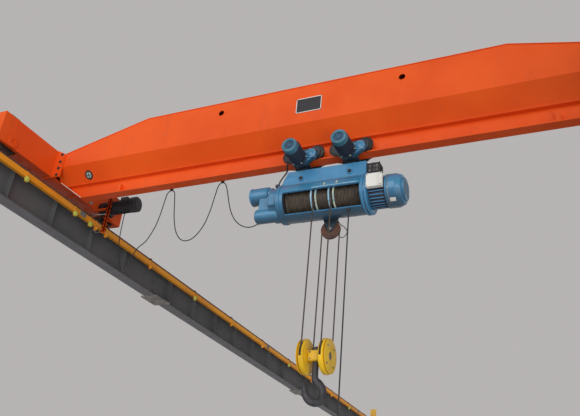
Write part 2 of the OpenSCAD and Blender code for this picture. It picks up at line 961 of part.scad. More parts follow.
function ring(p, i, r, sides, side_dir) =
  let (t = tangent(p, i), u = unit(cross(t, side_dir)), v = cross(t, u))
  [for (k = [0:sides - 1]) let (w = 360 * (k + 0.5) / sides)
    p[i] + r * (cos(w) * u + sin(w) * v)];

// plain tube of even thickness swept along the points
module tube(p, r, sides, side_dir) {
  n = len(p);
  points = [for (i = [0:n - 1]) each ring(p, i, r, sides, side_dir)];
  walls = [for (i = [0:n - 2], k = [0:sides - 1])
    let (a = i * sides + k, b = i * sides + (k + 1) % sides) [a, b, b + sides, a + sides]];
  first = [for (k = [0:sides - 1]) sides - 1 - k];
  last = [for (k = [0:sides - 1]) (n - 1) * sides + k];
  polyhedron(points, concat([first], walls, [last]));
}

// hand-chosen route of the supply cable, from the drive motor to the hoist gearbox
festoon_route = [
  [551, 800, 589.7], [553, 800, 430], [570, 795, 200], [640, 770, -60], [800, 690, -330],
  [1020, 520, -455], [1260, 300, -450], [1450, 160, -360], [1590, 127, -280],
  [1680, 125, -110], [1722, 125, 60], [1744, 125, 220], [1764, 125, 350],
  [1792, 125, 388], [1820, 125, 396], [1848, 125, 388], [1876, 125, 350],
  [1905, 125, 200], [1940, 125, 0], [2000, 125, -190], [2080, 125, -305],
  [2175, 125, -345], [2280, 125, -310], [2380, 125, -180], [2440, 125, 0],
  [2475, 125, 200], [2500, 125, 345], [2527, 125, 388], [2555, 125, 396],
  [2583, 125, 388], [2612, 125, 350], [2650, 125, 240], [2695, 125, 80],
  [2745, 125, -50], [2820, 125, -165], [2915, 125, -240], [3020, 125, -268],
  [3120, 125, -240], [3200, 125, -204], [3270, 125, -190], [3344.7, 125, -190]];

module festoon_cable() {
  color([0.10, 0.10, 0.11])
  on_bridge() tube(smooth(festoon_route, 2), festoon_d / 2, 8, [0.05, 1, 0.02]);
}

// the pendant cable hangs straight, its rings are even steps
module pendant_cable() {
  top = pendant_top;
  steps = 12;
  color([0.10, 0.10, 0.11])
  tube([for (k = [0:steps])
    [pendant_x, bridge_y + pendant_y, top - k * pendant_len / steps]],
    pendant_d / 2, 8, [0, 1, 0]);
}

module pendant_box() {
  top = pendant_top - pendant_len;
  color([0.80, 0.62, 0.10])
  translate([pendant_x, bridge_y + pendant_y, 0]) {
    translate([0, 0, top - 50]) cylinder(h = 50, r1 = 30, r2 = 16);
    block([-42, 42], [-34, 34], [top - 400, top - 50]);
  }
  color(dark)
  translate([pendant_x, bridge_y + pendant_y, 0])
  for (k = [0:5]) rod_y(-44, -34, 0, top - 90 - k * 54, 15);
}

left_runway_beams();
right_runway_beams();
left_rail();
right_rail();
seat_plates();
runway_end_stops();
conductor_bar();
conductor_hangers();
conductor_knobs();
girder_web_near();
girder_web_far();
girder_top_plate();
girder_end_plates();
track_beam();
girder_joint_plates();
carriage_left_near();
carriage_left_far();
carriage_right_near();
carriage_right_far();
carriage_buffers();
wheel_axles();
drive_gearboxes();
drive_motors();
collector_bracket();
rating_plate();
trolley_stops();
festoon_wire();
bridge_wheels_near();
bridge_wheels_far();
cable_carrier_1();
cable_carrier_2();
bogie_frames();
trolley_wheels_1();
trolley_wheels_2();
trolley_wheels_3();
trolley_wheels_4();
travel_gearboxes();
travel_motors();
suspension_beam();
hoist_casing();
hoist_gearbox();
hoist_motor();
motor_cover();
terminal_box();
control_box();
rope_guides();
equaliser_sheave();
rope_drum();
drum_rope();
sheave_covers();
block_axle();
block_rope();
hook_sheaves();
hook();
rope_falls_front();
rope_falls_back();
festoon_cable();
pendant_cable();
pendant_box();
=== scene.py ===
import json
import math
import bpy
import numpy as np
from mathutils import Matrix


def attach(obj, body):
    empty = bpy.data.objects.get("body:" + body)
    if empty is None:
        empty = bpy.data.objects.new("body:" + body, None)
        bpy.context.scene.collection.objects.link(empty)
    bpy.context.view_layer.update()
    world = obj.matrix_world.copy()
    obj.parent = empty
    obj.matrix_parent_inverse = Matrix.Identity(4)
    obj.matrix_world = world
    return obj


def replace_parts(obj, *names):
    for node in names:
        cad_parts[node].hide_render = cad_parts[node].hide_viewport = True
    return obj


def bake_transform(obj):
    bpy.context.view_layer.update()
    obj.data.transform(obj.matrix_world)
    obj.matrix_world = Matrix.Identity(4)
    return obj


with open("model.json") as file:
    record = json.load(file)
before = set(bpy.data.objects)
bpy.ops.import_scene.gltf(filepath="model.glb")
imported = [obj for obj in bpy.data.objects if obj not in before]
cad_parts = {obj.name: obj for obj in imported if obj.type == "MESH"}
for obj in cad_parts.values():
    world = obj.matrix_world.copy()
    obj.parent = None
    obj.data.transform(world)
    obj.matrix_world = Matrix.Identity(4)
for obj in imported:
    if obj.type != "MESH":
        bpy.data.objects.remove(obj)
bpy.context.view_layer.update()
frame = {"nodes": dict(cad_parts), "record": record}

girderY = -2.6  # the middle of the girder and of the hoist
span = 7.5  # from the left rail to the right one
sides = ((-1, "Near"), (1, "Far"))  # sign along y
ends = ((0.0, 1, "Left"), (span, -1, "Right"))  # place of the rail, sign that points inwards

view = {
    "place": (6.3803, -8.2838, -3.6129),
    "right": (0.912882, 0.398261, 0.089632),
    "down": (-0.119884, 0.471431, -0.873716),
    "forward": (-0.390222, 0.786855, 0.478107),
    "lens": 40.79,
}

light = {
    "ambient": 0.26,
    "backdrop": (0.47, 0.455, 0.45),
    "suns": {  # power, tilt from straight down, turn about the upright, spread: daylight, and light off the floor
        "windowLight": (1.05, 76, -14, 45),
        "floorLight": (2.25, 107, 38, 60),
    },
}

floorLook = {"height": -5.2, "half": 60.0, "toLight": (0.30, 0.29, 0.285), "toEye": (0.62, 0.61, 0.60),
             "glow": (0.27, 0.262, 0.258)}


def addNode(tree, kind, inputs=None, **settings):
    # a shader node; each input is a socket, which is linked, or a value, which is set
    node = tree.nodes.new("ShaderNode" + kind)
    for key, value in settings.items():
        setattr(node, key, value)
    for key, value in (inputs or {}).items():
        if isinstance(value, bpy.types.NodeSocket):
            tree.links.new(value, node.inputs[key])
        else:
            node.inputs[key].default_value = value
    return node


def mixed(tree, factor, first, second):
    # a colour between first and second, each a socket or three numbers
    first, second = (c + (1,) if isinstance(c, tuple) else c for c in (first, second))
    mix = addNode(tree, "Mix", {"A": first, "B": second, "Factor": factor}, data_type="RGBA")
    return mix.outputs["Result"]


def seenByEye(tree):
    # 1 where the camera, a mirror or glass looks, 0 for light that lands on things
    path = addNode(tree, "LightPath").outputs
    first = addNode(tree, "Math", {0: path["Is Camera Ray"], 1: path["Is Glossy Ray"]}, operation="MAXIMUM")
    second = addNode(tree, "Math", {0: first.outputs[0], 1: path["Is Transmission Ray"]}, operation="MAXIMUM")
    return second.outputs[0]


def placeCamera():
    # the camera's axes are the columns of its matrix: right, up, and back towards the viewer
    data = bpy.data.cameras.new("workshopCamera")
    data.lens = view["lens"]
    data.sensor_width = 36
    data.clip_end = 200
    camera = bpy.data.objects.new("workshopCamera", data)
    bpy.context.scene.collection.objects.link(camera)
    r, d, f, c = view["right"], view["down"], view["forward"], view["place"]
    camera.matrix_world = Matrix([[r[k], -d[k], -f[k], c[k]] for k in range(3)] + [[0, 0, 0, 1]])
    bpy.context.scene.camera = camera


def lightWorkshop():
    # soft light from all round, a pale backdrop for the eye, daylight from the front and light off the floor
    world = bpy.data.worlds.new("paleHall")
    bpy.context.scene.world = world
    world.use_nodes = True
    tree = world.node_tree
    tree.nodes.clear()
    soft = addNode(tree, "Background", {"Color": (1, 1, 1, 1), "Strength": light["ambient"]})
    back = addNode(tree, "Background", {"Color": light["backdrop"] + (1,)})
    mix = addNode(tree, "MixShader", {0: seenByEye(tree), 1: soft.outputs[0], 2: back.outputs[0]})
    addNode(tree, "OutputWorld", {"Surface": mix.outputs[0]})
    for name, (power, tilt, turn, spread) in light["suns"].items():
        sun = bpy.data.lights.new(name, "SUN")
        sun.energy = power
        sun.angle = math.radians(spread)
        lamp = bpy.data.objects.new(name, sun)
        bpy.context.scene.collection.objects.link(lamp)
        lamp.rotation_euler = (math.radians(tilt), 0, math.radians(turn))


def layFloor():
    # one square; the eye sees it paler than the light does, so that little shines back up
    mesh = bpy.data.meshes.new("hallFloor")
    half = floorLook["half"]
    corners = [(-half, -half), (half, -half), (half, half), (-half, half)]
    mesh.from_pydata([(x, y, floorLook["height"]) for x, y in corners], [], [(0, 1, 2, 3)])
    floor = bpy.data.objects.new("hallFloor", mesh)
    bpy.context.scene.collection.objects.link(floor)
    material = bpy.data.materials.new("hallFloor")
    material.use_nodes = True
    tree = material.node_tree
    shader = tree.nodes["Principled BSDF"].inputs
    shader["Roughness"].default_value = 0.9
    shader["Emission Color"].default_value = floorLook["glow"] + (1,)
    seen = seenByEye(tree)
    tree.links.new(mixed(tree, seen, floorLook["toLight"], floorLook["toEye"]), shader["Base Color"])
    tree.links.new(seen, shader["Emission Strength"])
    mesh.materials.append(material)
    floor.visible_shadow = False  # the light off the floor comes from under it


placeCamera()
lightWorkshop()
layFloor()
bpy.context.scene.view_settings.view_transform = "Standard"
print("camera, light and floor placed")


def newFinish(name, color, roughness, metallic=0.0, specular=0.3):
    # a plain material, its node tree and its shader's sockets
    material = bpy.data.materials.new(name)
    material.use_nodes = True
    shader = material.node_tree.nodes["Principled BSDF"].inputs
    values = {"Base Color": color + (1,), "Roughness": roughness, "Metallic": metallic,
              "Specular IOR Level": specular}
    for socket, value in values.items():
        shader[socket].default_value = value
    return material, material.node_tree, shader


def cloud(tree, size, detail=3.0, stretch=(1, 1, 1)):
    # noise in lumps of about that size in metres, drawn out by stretch
    turn = addNode(tree, "Mapping", {"Vector": addNode(tree, "TexCoord").outputs["Object"],
                                     "Scale": tuple(1 / (size * s) for s in stretch)})
    return addNode(tree, "TexNoise", {"Vector": turn.outputs[0], "Scale": 1.0, "Detail": detail}).outputs["Fac"]


def between(tree, value, low, high, toLow=0.0, toHigh=1.0):
    # toLow at low and toHigh at high, eased at both
    limits = {"Value": value, "From Min": low, "From Max": high, "To Min": toLow, "To Max": toHigh}
    return addNode(tree, "MapRange", limits, interpolation_type="SMOOTHSTEP").outputs["Result"]


def dressed(tree, shader, skin, height, strength, distance, roughness=None, dull=0.08, size=0.12):
    # colour and bump put on the shader, and where a roughness is given, gloss that wanders round it
    tree.links.new(skin, shader["Base Color"])
    if roughness:
        gloss = between(tree, cloud(tree, size, 4.0), 0.3, 0.7, roughness - dull, roughness + 0.12)
        tree.links.new(gloss, shader["Roughness"])
    bump = addNode(tree, "Bump", {"Height": height, "Strength": strength, "Distance": distance})
    tree.links.new(bump.outputs["Normal"], shader["Normal"])


def paintedSteel(name, color, shade, roughness, patch=0.9, grime=0.3, dirt=(0.10, 0.07, 0.05), chipLevel=0.70,
                 dust=0.35, grain=0.012, bump=0.12, specular=0.3, paintedUnderside=None):
    # broad tint changes, hanging streaks, small chips, dust on what faces up, painted light or shade on what faces down
    material, tree, shader = newFinish(name, color, roughness, 0.0, specular)
    paint = mixed(tree, between(tree, cloud(tree, patch), 0.35, 0.65), color, shade)
    stain = between(tree, cloud(tree, 0.09, 4.0, (1, 1, 7)), 0.56, 0.80, 0.0, grime)
    paint = mixed(tree, stain, paint, dirt)
    chip = between(tree, cloud(tree, 0.035, 8.0), chipLevel, chipLevel + 0.02)
    paint = mixed(tree, chip, paint, (0.16, 0.08, 0.05))
    normal = addNode(tree, "NewGeometry").outputs["Normal"]
    upright = addNode(tree, "SeparateXYZ", {0: normal}).outputs["Z"]
    paint = mixed(tree, between(tree, upright, 0.5, 0.95, 0.0, dust), paint, (0.34, 0.30, 0.26))
    if paintedUnderside:  # how much, and the colour of the painted light or shade on undersides
        paint = mixed(tree, between(tree, upright, -0.95, -0.15, paintedUnderside[0], 0.0), paint, paintedUnderside[1])
    dressed(tree, shader, paint, cloud(tree, grain), bump, 0.002, roughness)
    return material


def wornIron(name, color, shade, roughness, metallic=0.0, speck=(0.03, 0.02, 0.018), bump=0.35):
    # bare or rusting iron: two colours in lumps, finer specks, an uneven skin
    material, tree, shader = newFinish(name, color, roughness, metallic)
    skin = mixed(tree, between(tree, cloud(tree, 0.12, 6.0), 0.38, 0.62), color, shade)
    skin = mixed(tree, between(tree, cloud(tree, 0.012, 4.0), 0.55, 0.75, 0.0, 0.6), skin, speck)
    dressed(tree, shader, skin, cloud(tree, 0.008, 5.0), bump, 0.003, roughness, 0.12, 0.05)
    return material


def mouldedPlastic(name, color, shade, roughness, patch=0.25):
    # two near tints and a fine grain
    material, tree, shader = newFinish(name, color, roughness)
    skin = mixed(tree, between(tree, cloud(tree, patch, 4.0), 0.35, 0.7), color, shade)
    dressed(tree, shader, skin, cloud(tree, 0.004, 2.0), 0.10, 0.001)
    return material


def twistedStrands(name, color, shade, grooveGreaseAndShade, roughness, metallic, lay):
    # six strands wound round a wire rope: the sine of six u plus v over the lay; between them a dark colour that is
    # partly grease and partly painted shade in the grooves
    material, tree, shader = newFinish(name, color, roughness, metallic)
    turn = addNode(tree, "Mapping", {"Vector": addNode(tree, "TexCoord").outputs["UV"],
                                     "Scale": (6.0, 1.0 / lay, 1.0)})
    split = addNode(tree, "SeparateXYZ", {0: turn.outputs[0]}).outputs
    total = addNode(tree, "Math", {0: split["X"], 1: split["Y"]})
    scale = addNode(tree, "Math", {0: total.outputs[0], 1: 2 * math.pi}, operation="MULTIPLY")
    wave = addNode(tree, "Math", {0: scale.outputs[0]}, operation="SINE")
    groove = between(tree, wave.outputs[0], -1.0, 0.2)
    strand = mixed(tree, between(tree, cloud(tree, 0.06, 4.0), 0.4, 0.7), color, shade)
    dressed(tree, shader, mixed(tree, groove, grooveGreaseAndShade, strand), groove, 0.5, 0.002)
    return material


finishes = {  # colour, its second tint, roughness, then what differs from plain
    "girder_paint": paintedSteel("craneOrange", (0.82, 0.100, 0.010), (0.74, 0.080, 0.008), 0.46, grime=0.10,
                                 chipLevel=0.74, dust=0.45, specular=0.2),
    "runway_paint": paintedSteel("runwayGrey", (0.076, 0.078, 0.082), (0.098, 0.098, 0.101), 0.60, grime=0.5,
                                 dirt=(0.12, 0.11, 0.105), chipLevel=0.66, dust=0.7,
                                 # a paler underside: painted light, as if lit from below
                                 paintedUnderside=(0.9, (0.215, 0.21, 0.225))),
    "rail_steel": wornIron("rustedRail", (0.15, 0.035, 0.035), (0.09, 0.03, 0.028), 0.7),
    "bare_steel": wornIron("dullSteel", (0.26, 0.25, 0.24), (0.17, 0.155, 0.145), 0.5, metallic=0.6,
                           speck=(0.09, 0.06, 0.045), bump=0.2),
    "conductor_orange": mouldedPlastic("conductorHousing", (0.86, 0.36, 0.022), (0.72, 0.27, 0.018), 0.42, patch=0.8),
    "knob_green": mouldedPlastic("clampKnob", (0.50, 0.52, 0.09), (0.42, 0.43, 0.07), 0.45, patch=0.05),
    "stop_paint": paintedSteel("stopYellow", (0.62, 0.36, 0.04), (0.52, 0.29, 0.03), 0.45, chipLevel=0.66),
    "black_paint": paintedSteel("motorBlack", (0.020, 0.020, 0.023), (0.032, 0.032, 0.036), 0.42, dust=0.4),
    "buffer_rubber": mouldedPlastic("bufferRubber", (0.022, 0.021, 0.021), (0.035, 0.033, 0.032), 0.75),
    "plate_black": paintedSteel("plateBlack", (0.018, 0.018, 0.022), (0.025, 0.025, 0.030), 0.35, grime=0.1,
                                dust=0.1),
    "wheel_iron": wornIron("wheelIron", (0.060, 0.052, 0.050), (0.035, 0.030, 0.030), 0.55, metallic=0.4),
    "hoist_blue": paintedSteel("hoistBlue", (0.038, 0.180, 0.325), (0.050, 0.215, 0.385), 0.26, patch=0.35,
                               grime=0.25, grain=0.006, bump=0.3, dust=0.4, specular=0.55,
                               # a darker underside: painted shade
                               paintedUnderside=(0.75, (0.020, 0.045, 0.075))),
    "hoist_dark": paintedSteel("hoistOiled", (0.016, 0.028, 0.042), (0.030, 0.045, 0.060), 0.38, patch=0.1,
                               grime=0.5, dirt=(0.06, 0.045, 0.03), dust=0.4),
    # the guides' own light colour, lightened further as painted reflection
    "guide_pale": paintedSteel("guidePale", (0.40, 0.58, 0.70), (0.24, 0.44, 0.58), 0.35, patch=0.05, grime=0.5),
    "cap_teal": paintedSteel("fanCoverTeal", (0.045, 0.150, 0.215), (0.065, 0.200, 0.270), 0.34, patch=0.08,
                             grime=0.4),
    "cap_face": paintedSteel("fanCoverFace", (0.026, 0.075, 0.150), (0.040, 0.105, 0.190), 0.36, patch=0.06,
                             grime=0.5),
    "drum_grease": wornIron("greasedDrum", (0.050, 0.038, 0.030), (0.085, 0.066, 0.052), 0.45, metallic=0.3),
    "beam_blue": paintedSteel("beamBlue", (0.070, 0.255, 0.460), (0.058, 0.215, 0.400), 0.34, patch=0.3,
                              grime=0.25),
    "motor_navy": paintedSteel("motorNavy", (0.030, 0.036, 0.058), (0.042, 0.054, 0.085), 0.36),
    "box_white": paintedSteel("boxWhite", (0.80, 0.78, 0.74), (0.70, 0.68, 0.64), 0.45, grime=0.4),
    "sheave_rust": wornIron("rustySheave", (0.135, 0.060, 0.040), (0.075, 0.042, 0.034), 0.65),
    "rope_steel": twistedStrands("greasedRope", (0.115, 0.088, 0.065), (0.060, 0.045, 0.036),
                                 # the third colour darkens the grooves: grease and painted shade
                                 (0.020, 0.016, 0.014), 0.42, metallic=0.25, lay=0.09),
    "guide_steel": paintedSteel("guideSteel", (0.50, 0.52, 0.38), (0.26, 0.42, 0.48), 0.45, patch=0.05, grime=0.6),
    "block_yellow": paintedSteel("blockYellow", (0.83, 0.52, 0.022), (0.74, 0.44, 0.020), 0.36, patch=0.2,
                                 chipLevel=0.68),
    "hook_steel": wornIron("forgedHook", (0.036, 0.036, 0.043), (0.058, 0.056, 0.061), 0.5, metallic=0.3),
    "cable_black": mouldedPlastic("cableSheath", (0.017, 0.016, 0.017), (0.030, 0.028, 0.028), 0.5),
    "pendant_yellow": mouldedPlastic("pendantYellow", (0.78, 0.46, 0.035), (0.68, 0.38, 0.030), 0.4),
}

slotOf = {part["node"]: part["material_slot"] for part in frame["record"]["subparts"]}
slotOf.update(bogie_frames="hoist_dark", wheel_axles="girder_paint")  # these two wear another finish than their slot's
for node, slotName in slotOf.items():
    materials = frame["nodes"][node].data.materials
    if not len(materials):
        materials.append(finishes[slotName])
    for k in range(len(materials)):
        materials[k] = finishes[slotName]
print("finishes made and put on", len(slotOf), "nodes")


def buildMesh(name, points, quads, tris=None, uv=None, sharp=35):
    # points (n, 3), quads (m, 4) and tris (t, 3) of point numbers, uv one pair for each corner of each quad
    mesh = bpy.data.meshes.new(name)
    tris = np.zeros((0, 3), int) if tris is None else tris
    corners = np.concatenate([quads.ravel(), tris.ravel()]).astype(np.int32)
    starts = np.concatenate([np.arange(len(quads)) * 4, len(quads) * 4 + np.arange(len(tris)) * 3])
    mesh.vertices.add(len(points))
    mesh.vertices.foreach_set("co", np.asarray(points, np.float32).ravel())
    mesh.loops.add(len(corners))
    mesh.loops.foreach_set("vertex_index", corners)
    mesh.polygons.add(len(quads) + len(tris))
    mesh.polygons.foreach_set("loop_start", starts.astype(np.int32))
    mesh.update(calc_edges=True)
    mesh.validate()
    if uv is not None:
        layer = mesh.uv_layers.new(name="ownMap")
        flat = np.zeros((len(mesh.loops), 2), np.float32)
        flat[: len(uv)] = uv
        layer.data.foreach_set("uv", flat.ravel())
    mesh.polygons.foreach_set("use_smooth", np.ones(len(mesh.polygons), bool))
    mesh.set_sharp_from_angle(angle=math.radians(sharp))
    return mesh


def finishPiece(mesh, body, slotName, stands=()):
    # an object with the finish of its slot and the body it rides on; the CAD nodes it stands for are hidden
    piece = bpy.data.objects.new(mesh.name, mesh)
    bpy.context.scene.collection.objects.link(piece)
    mesh.materials.append(finishes[slotName])
    if body:
        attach(piece, body)
    if stands:
        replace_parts(piece, *stands)
    return piece


def volumeOf(points, quads, tris):
    # sum of the signed tetrahedra from the first point to each face: negative if faces look inwards
    faces = [quads[:, [0, 1, 2]], quads[:, [0, 2, 3]]] + ([] if tris is None else [tris])
    three = np.concatenate(faces)
    p = points - points[0]
    return float((np.cross(p[three[:, 0]], p[three[:, 1]]) * p[three[:, 2]]).sum()) / 6


def gridPiece(name, grid, body, slotName, aroundRows=False, capped=True, uvSize=None, stands=(), sharp=35, keep=None):
    # grid (rows, columns, 3): columns run round and close on themselves, rows run along;
    # the ends close with a fan to their middle, or the last row joins the first
    rows, cols = grid.shape[:2]
    points = grid.reshape(-1, 3)
    i = np.arange(rows if aroundRows else rows - 1)[:, None]
    j = np.arange(cols)[None, :]
    ahead, beside = (i + 1) % rows, (j + 1) % cols
    quads = np.stack([i * cols + j, i * cols + beside, ahead * cols + beside, ahead * cols + j], -1)
    tris = uv = None
    if uvSize is not None:  # u once round, v in metres along
        uv = np.stack([np.stack(np.broadcast_arrays((j + a) / cols, (i + b) / (rows - 1) * uvSize), -1)
                       for a, b in ((0, 0), (1, 0), (1, 1), (0, 1))], -2)
    quads = quads.reshape(-1, 4) if keep is None else quads[keep]
    if capped and not aroundRows:
        k = np.arange(cols)
        top = (rows - 1) * cols
        low = np.stack([np.full(cols, len(points)), (k + 1) % cols, k], -1)
        high = np.stack([np.full(cols, len(points) + 1), top + k, top + (k + 1) % cols], -1)
        points = np.concatenate([points, [grid[0].mean(0), grid[-1].mean(0)]])
        tris = np.concatenate([low, high])
    if volumeOf(points, quads, tris) < 0:
        quads = quads[:, ::-1]
        tris = None if tris is None else tris[:, ::-1]
        uv = None if uv is None else uv[..., ::-1, :]
    mesh = buildMesh(name, points, quads, tris, None if uv is None else uv.reshape(-1, 2), sharp)
    return finishPiece(mesh, body, slotName, stands)


def unitVectors(v):
    # each vector divided by its length
    return v / np.linalg.norm(v, axis=-1, keepdims=True)


def smoothed(route, steps):
    # a curve through all the points: each stretch is the cubic of its two points and their neighbours
    p = np.asarray(route, float)
    last = len(p) - 1
    corners = p[np.r_[0, 0:last - 1]], p[:-1], p[1:], p[np.r_[2:last + 1, last]]
    t = (np.arange(steps) / steps)[None, :, None]
    a, b, c, d = (q[:, None, :] for q in corners)
    curve = 0.5 * (2 * b + (c - a) * t + (2 * a - 5 * b + 4 * c - d) * t**2 + (3 * b - a - 3 * c + d) * t**3)
    return np.concatenate([curve.reshape(-1, 3), p[-1:]])


def runAlong(path):
    # how far along the path each of its points lies
    return np.concatenate([[0], np.cumsum(np.linalg.norm(np.diff(path, axis=0), axis=1))])


def evenly(path, step):
    # the same path with its points one step apart
    run = runAlong(path)
    at = np.linspace(0, run[-1], max(int(round(run[-1] / step)), 2) + 1)
    return np.stack([np.interp(at, run, path[:, k]) for k in range(3)], -1), run[-1]


def tubeGrid(path, radius, count, sideways, lobes=0.0, lay=None):
    # rings of points round the path: p + r (cos w u + sin w v), where u and v are square to the path;
    # r swells six times a turn for the strands of a rope, and the swelling winds once in each lay
    path = np.asarray(path, float)
    t = unitVectors(np.gradient(path, axis=0))
    u = unitVectors(np.cross(t, np.broadcast_to(np.asarray(sideways, float), path.shape)))
    v = np.cross(t, u)
    w = 2 * np.pi * np.arange(count) / count
    r = np.full((len(path), count), float(radius))
    if lay:
        swell = np.abs(np.cos(3 * (w[None, :] + 2 * np.pi * runAlong(path)[:, None] / lay)))
        r = r * (1 - lobes + lobes * swell)
    ring = np.cos(w)[None, :, None] * u[:, None, :] + np.sin(w)[None, :, None] * v[:, None, :]
    return path[:, None, :] + r[..., None] * ring


def roundAxis(r, w, along, middle, axis):
    # r cos w and r sin w square to the axis through middle, with that place along it
    a, b, h = np.broadcast_arrays(r * np.cos(w), r * np.sin(w), along)
    return np.stack({"x": (h, a, b), "y": (b, h, a), "z": (a, b, h)}[axis], -1) + np.asarray(middle, float)


def places(middle, radius, axis, count, start=0.0, along=0.0):
    # so many places evenly round a circle, from the start angle on
    return roundAxis(radius, start + 2 * np.pi * np.arange(count) / count, along, middle, axis)


def turnedGrid(profile, middle, axis, segments):
    # a profile of (radius, place along the axis) carried round the axis through middle
    profile = np.asarray(profile, float)
    w = 2 * np.pi * np.arange(segments) / segments
    return roundAxis(profile[:, :1], w, profile[:, 1:], middle, axis)


def turnedPiece(name, profile, middle, axis, body, slotName, segments=64, stands=(), sharp=35):
    # a profile carried round, closed at both ends
    return gridPiece(name, turnedGrid(profile, middle, axis, segments), body, slotName, stands=stands, sharp=sharp)


def ringPiece(name, profile, middle, axis, body, slotName, segments=72, stands=(), sharp=35):
    # a closed profile carried round, open at its middle
    grid = turnedGrid(profile, middle, axis, segments)
    return gridPiece(name, grid, body, slotName, aroundRows=True, stands=stands, sharp=sharp)


def mirrored(half, crown=()):
    # half a profile, its crown, and the half back again with the second number's sign changed
    return [*half, *crown, *((r, -h) for r, h in half[::-1])]


def finGrid(step, shift, count, rows, middle, axis):
    # fins round a motor: one fin's radii and shares of a step, count times round;
    # each row is a place along the axis and how large the ring is there
    w = (np.arange(count)[:, None] + np.asarray(shift)).ravel() * 2 * np.pi / count
    along, size = np.asarray(rows, float).T[:, :, None]
    return roundAxis(size * np.tile(step, count), w, along, middle, axis)


def slabPiece(name, outline, low, high, along, body, slotName, bevel=0.002, stands=()):
    # a flat outline made as thick as high minus low along one axis, its edges broken by the bevel
    flat = np.asarray(outline, float)
    n = len(flat)
    both = np.repeat([low, high], n).astype(float)
    a, b = np.tile(flat[:, 0], 2), np.tile(flat[:, 1], 2)
    points = {"x": (both, a, b), "y": (a, both, b), "z": (a, b, both)}[along]
    k = np.arange(n)
    faces = [k[::-1].tolist(), (k + n).tolist()]
    faces += np.stack([k, (k + 1) % n, n + (k + 1) % n, n + k], -1).tolist()
    area = float((flat[:, 0] * np.roll(flat[:, 1], -1) - np.roll(flat[:, 0], -1) * flat[:, 1]).sum())
    if (area < 0) != (along == "y"):
        faces = [f[::-1] for f in faces]
    mesh = bpy.data.meshes.new(name)
    mesh.from_pydata(np.stack(points, -1).tolist(), [], faces)
    mesh.update()
    piece = finishPiece(mesh, body, slotName, stands)
    if bevel:
        edge = piece.modifiers.new("edges", "BEVEL")
        edge.width = bevel
        edge.segments = 2
        edge.limit_method = "ANGLE"
    return piece


def boxPiece(name, x, y, z, body, slotName, bevel=0.003, stands=()):
    # a slab between two places along each axis
    outline = [(x[0], y[0]), (x[1], y[0]), (x[1], y[1]), (x[0], y[1])]
    return slabPiece(name, outline, z[0], z[1], "z", body, slotName, bevel, stands)


def arcPoints(middle, radius, angles):
    # flat points on an arc: the middle plus r (cos a, sin a)
    a = np.radians(angles)
    return np.stack([middle[0] + radius * np.cos(a), middle[1] + radius * np.sin(a)], -1)


def arcBand(middle, inner, outer, start, end, steps=48):
    # outline of a bent strip: out along the outer arc, back along the inner one
    a = np.linspace(start, end, steps)
    return np.concatenate([arcPoints(middle, outer, a), arcPoints(middle, inner, a[::-1])])


def boltHeads(name, spots, axis, size, body, slotName="bare_steel"):
    # hexagon heads on round washers: rings of twelve points, of which every second is drawn in to a flat
    spots = np.asarray(spots, float)
    w = 2 * np.pi * np.arange(12) / 12
    hexagon = np.where(np.arange(12) % 2 == 0, 1.0, math.cos(math.pi / 6))
    rings = [(1.35, 0.0, 0), (1.35, 0.14, 0), (1.0, 0.14, 1), (1.0, 0.66, 1), (0.82, 0.78, 0), (0.0, 0.78, 0)]
    radius = np.stack([r * (hexagon if flat else np.ones(12)) for r, _, flat in rings]) * size
    height = np.array([h for _, h, _ in rings])[:, None, None] * size
    n = np.asarray(axis, float)
    u = unitVectors(np.cross(n, [0.3, 0.5, 0.8]))
    one = (radius * np.cos(w))[..., None] * u + (radius * np.sin(w))[..., None] * np.cross(n, u) + height * n
    i, j = np.arange(len(rings) - 1)[:, None] * 12, np.arange(12)[None, :]
    beside = (j + 1) % 12
    quads = np.stack([i + j, i + beside, i + 12 + beside, i + 12 + j], -1).reshape(-1, 4)
    points = (spots[:, None, :] + one.reshape(1, -1, 3)).reshape(-1, 3)
    shift = (np.arange(len(spots)) * len(rings) * 12)[:, None, None]
    mesh = buildMesh(name, points, (quads[None] + shift).reshape(-1, 4), sharp=25)
    return finishPiece(mesh, body, slotName)


def manyBoxes(name, middles, halves, body, slotName, turns=0.0, axis=0):
    # one mesh of boxes: each corner is middle + signs * half, turned round the chosen axis by its angle
    middles = np.asarray(middles, float)
    halves = np.broadcast_to(np.asarray(halves, float), middles.shape)
    flat = [(-1, -1), (1, -1), (1, 1), (-1, 1)]
    signs = np.array([(x, y, z) for z in (-1, 1) for x, y in flat], float)
    local = signs[None] * halves[:, None, :]
    w = np.broadcast_to(np.radians(np.asarray(turns, float)), (len(middles),))[:, None]
    i, j = [k for k in range(3) if k != axis]
    a, b = local[..., i].copy(), local[..., j].copy()
    local[..., i], local[..., j] = a * np.cos(w) - b * np.sin(w), a * np.sin(w) + b * np.cos(w)
    faces = np.array([(0, 3, 2, 1), (4, 5, 6, 7), (0, 1, 5, 4), (1, 2, 6, 5), (2, 3, 7, 6), (3, 0, 4, 7)])
    points = (middles[:, None, :] + local).reshape(-1, 3)
    quads = (faces[None] + (np.arange(len(middles)) * 8)[:, None, None]).reshape(-1, 4)
    return finishPiece(buildMesh(name, points, quads, sharp=25), body, slotName)


# the body and the finish of most pieces
blue, pale, navy = ("trolley", "hoist_blue"), ("trolley", "beam_blue"), ("trolley", "motor_navy")
oiled, black, steel = ("trolley", "hoist_dark"), ("trolley", "black_paint"), ("trolley", "bare_steel")
worn, white = ("trolley", "guide_steel"), ("trolley", "box_white")
orange, ironOnBridge, blackOnBridge = ("bridge", "girder_paint"), ("bridge", "bare_steel"), ("bridge", "black_paint")
yellow, ironOnBlock = ("hook_block", "block_yellow"), ("hook_block", "bare_steel")

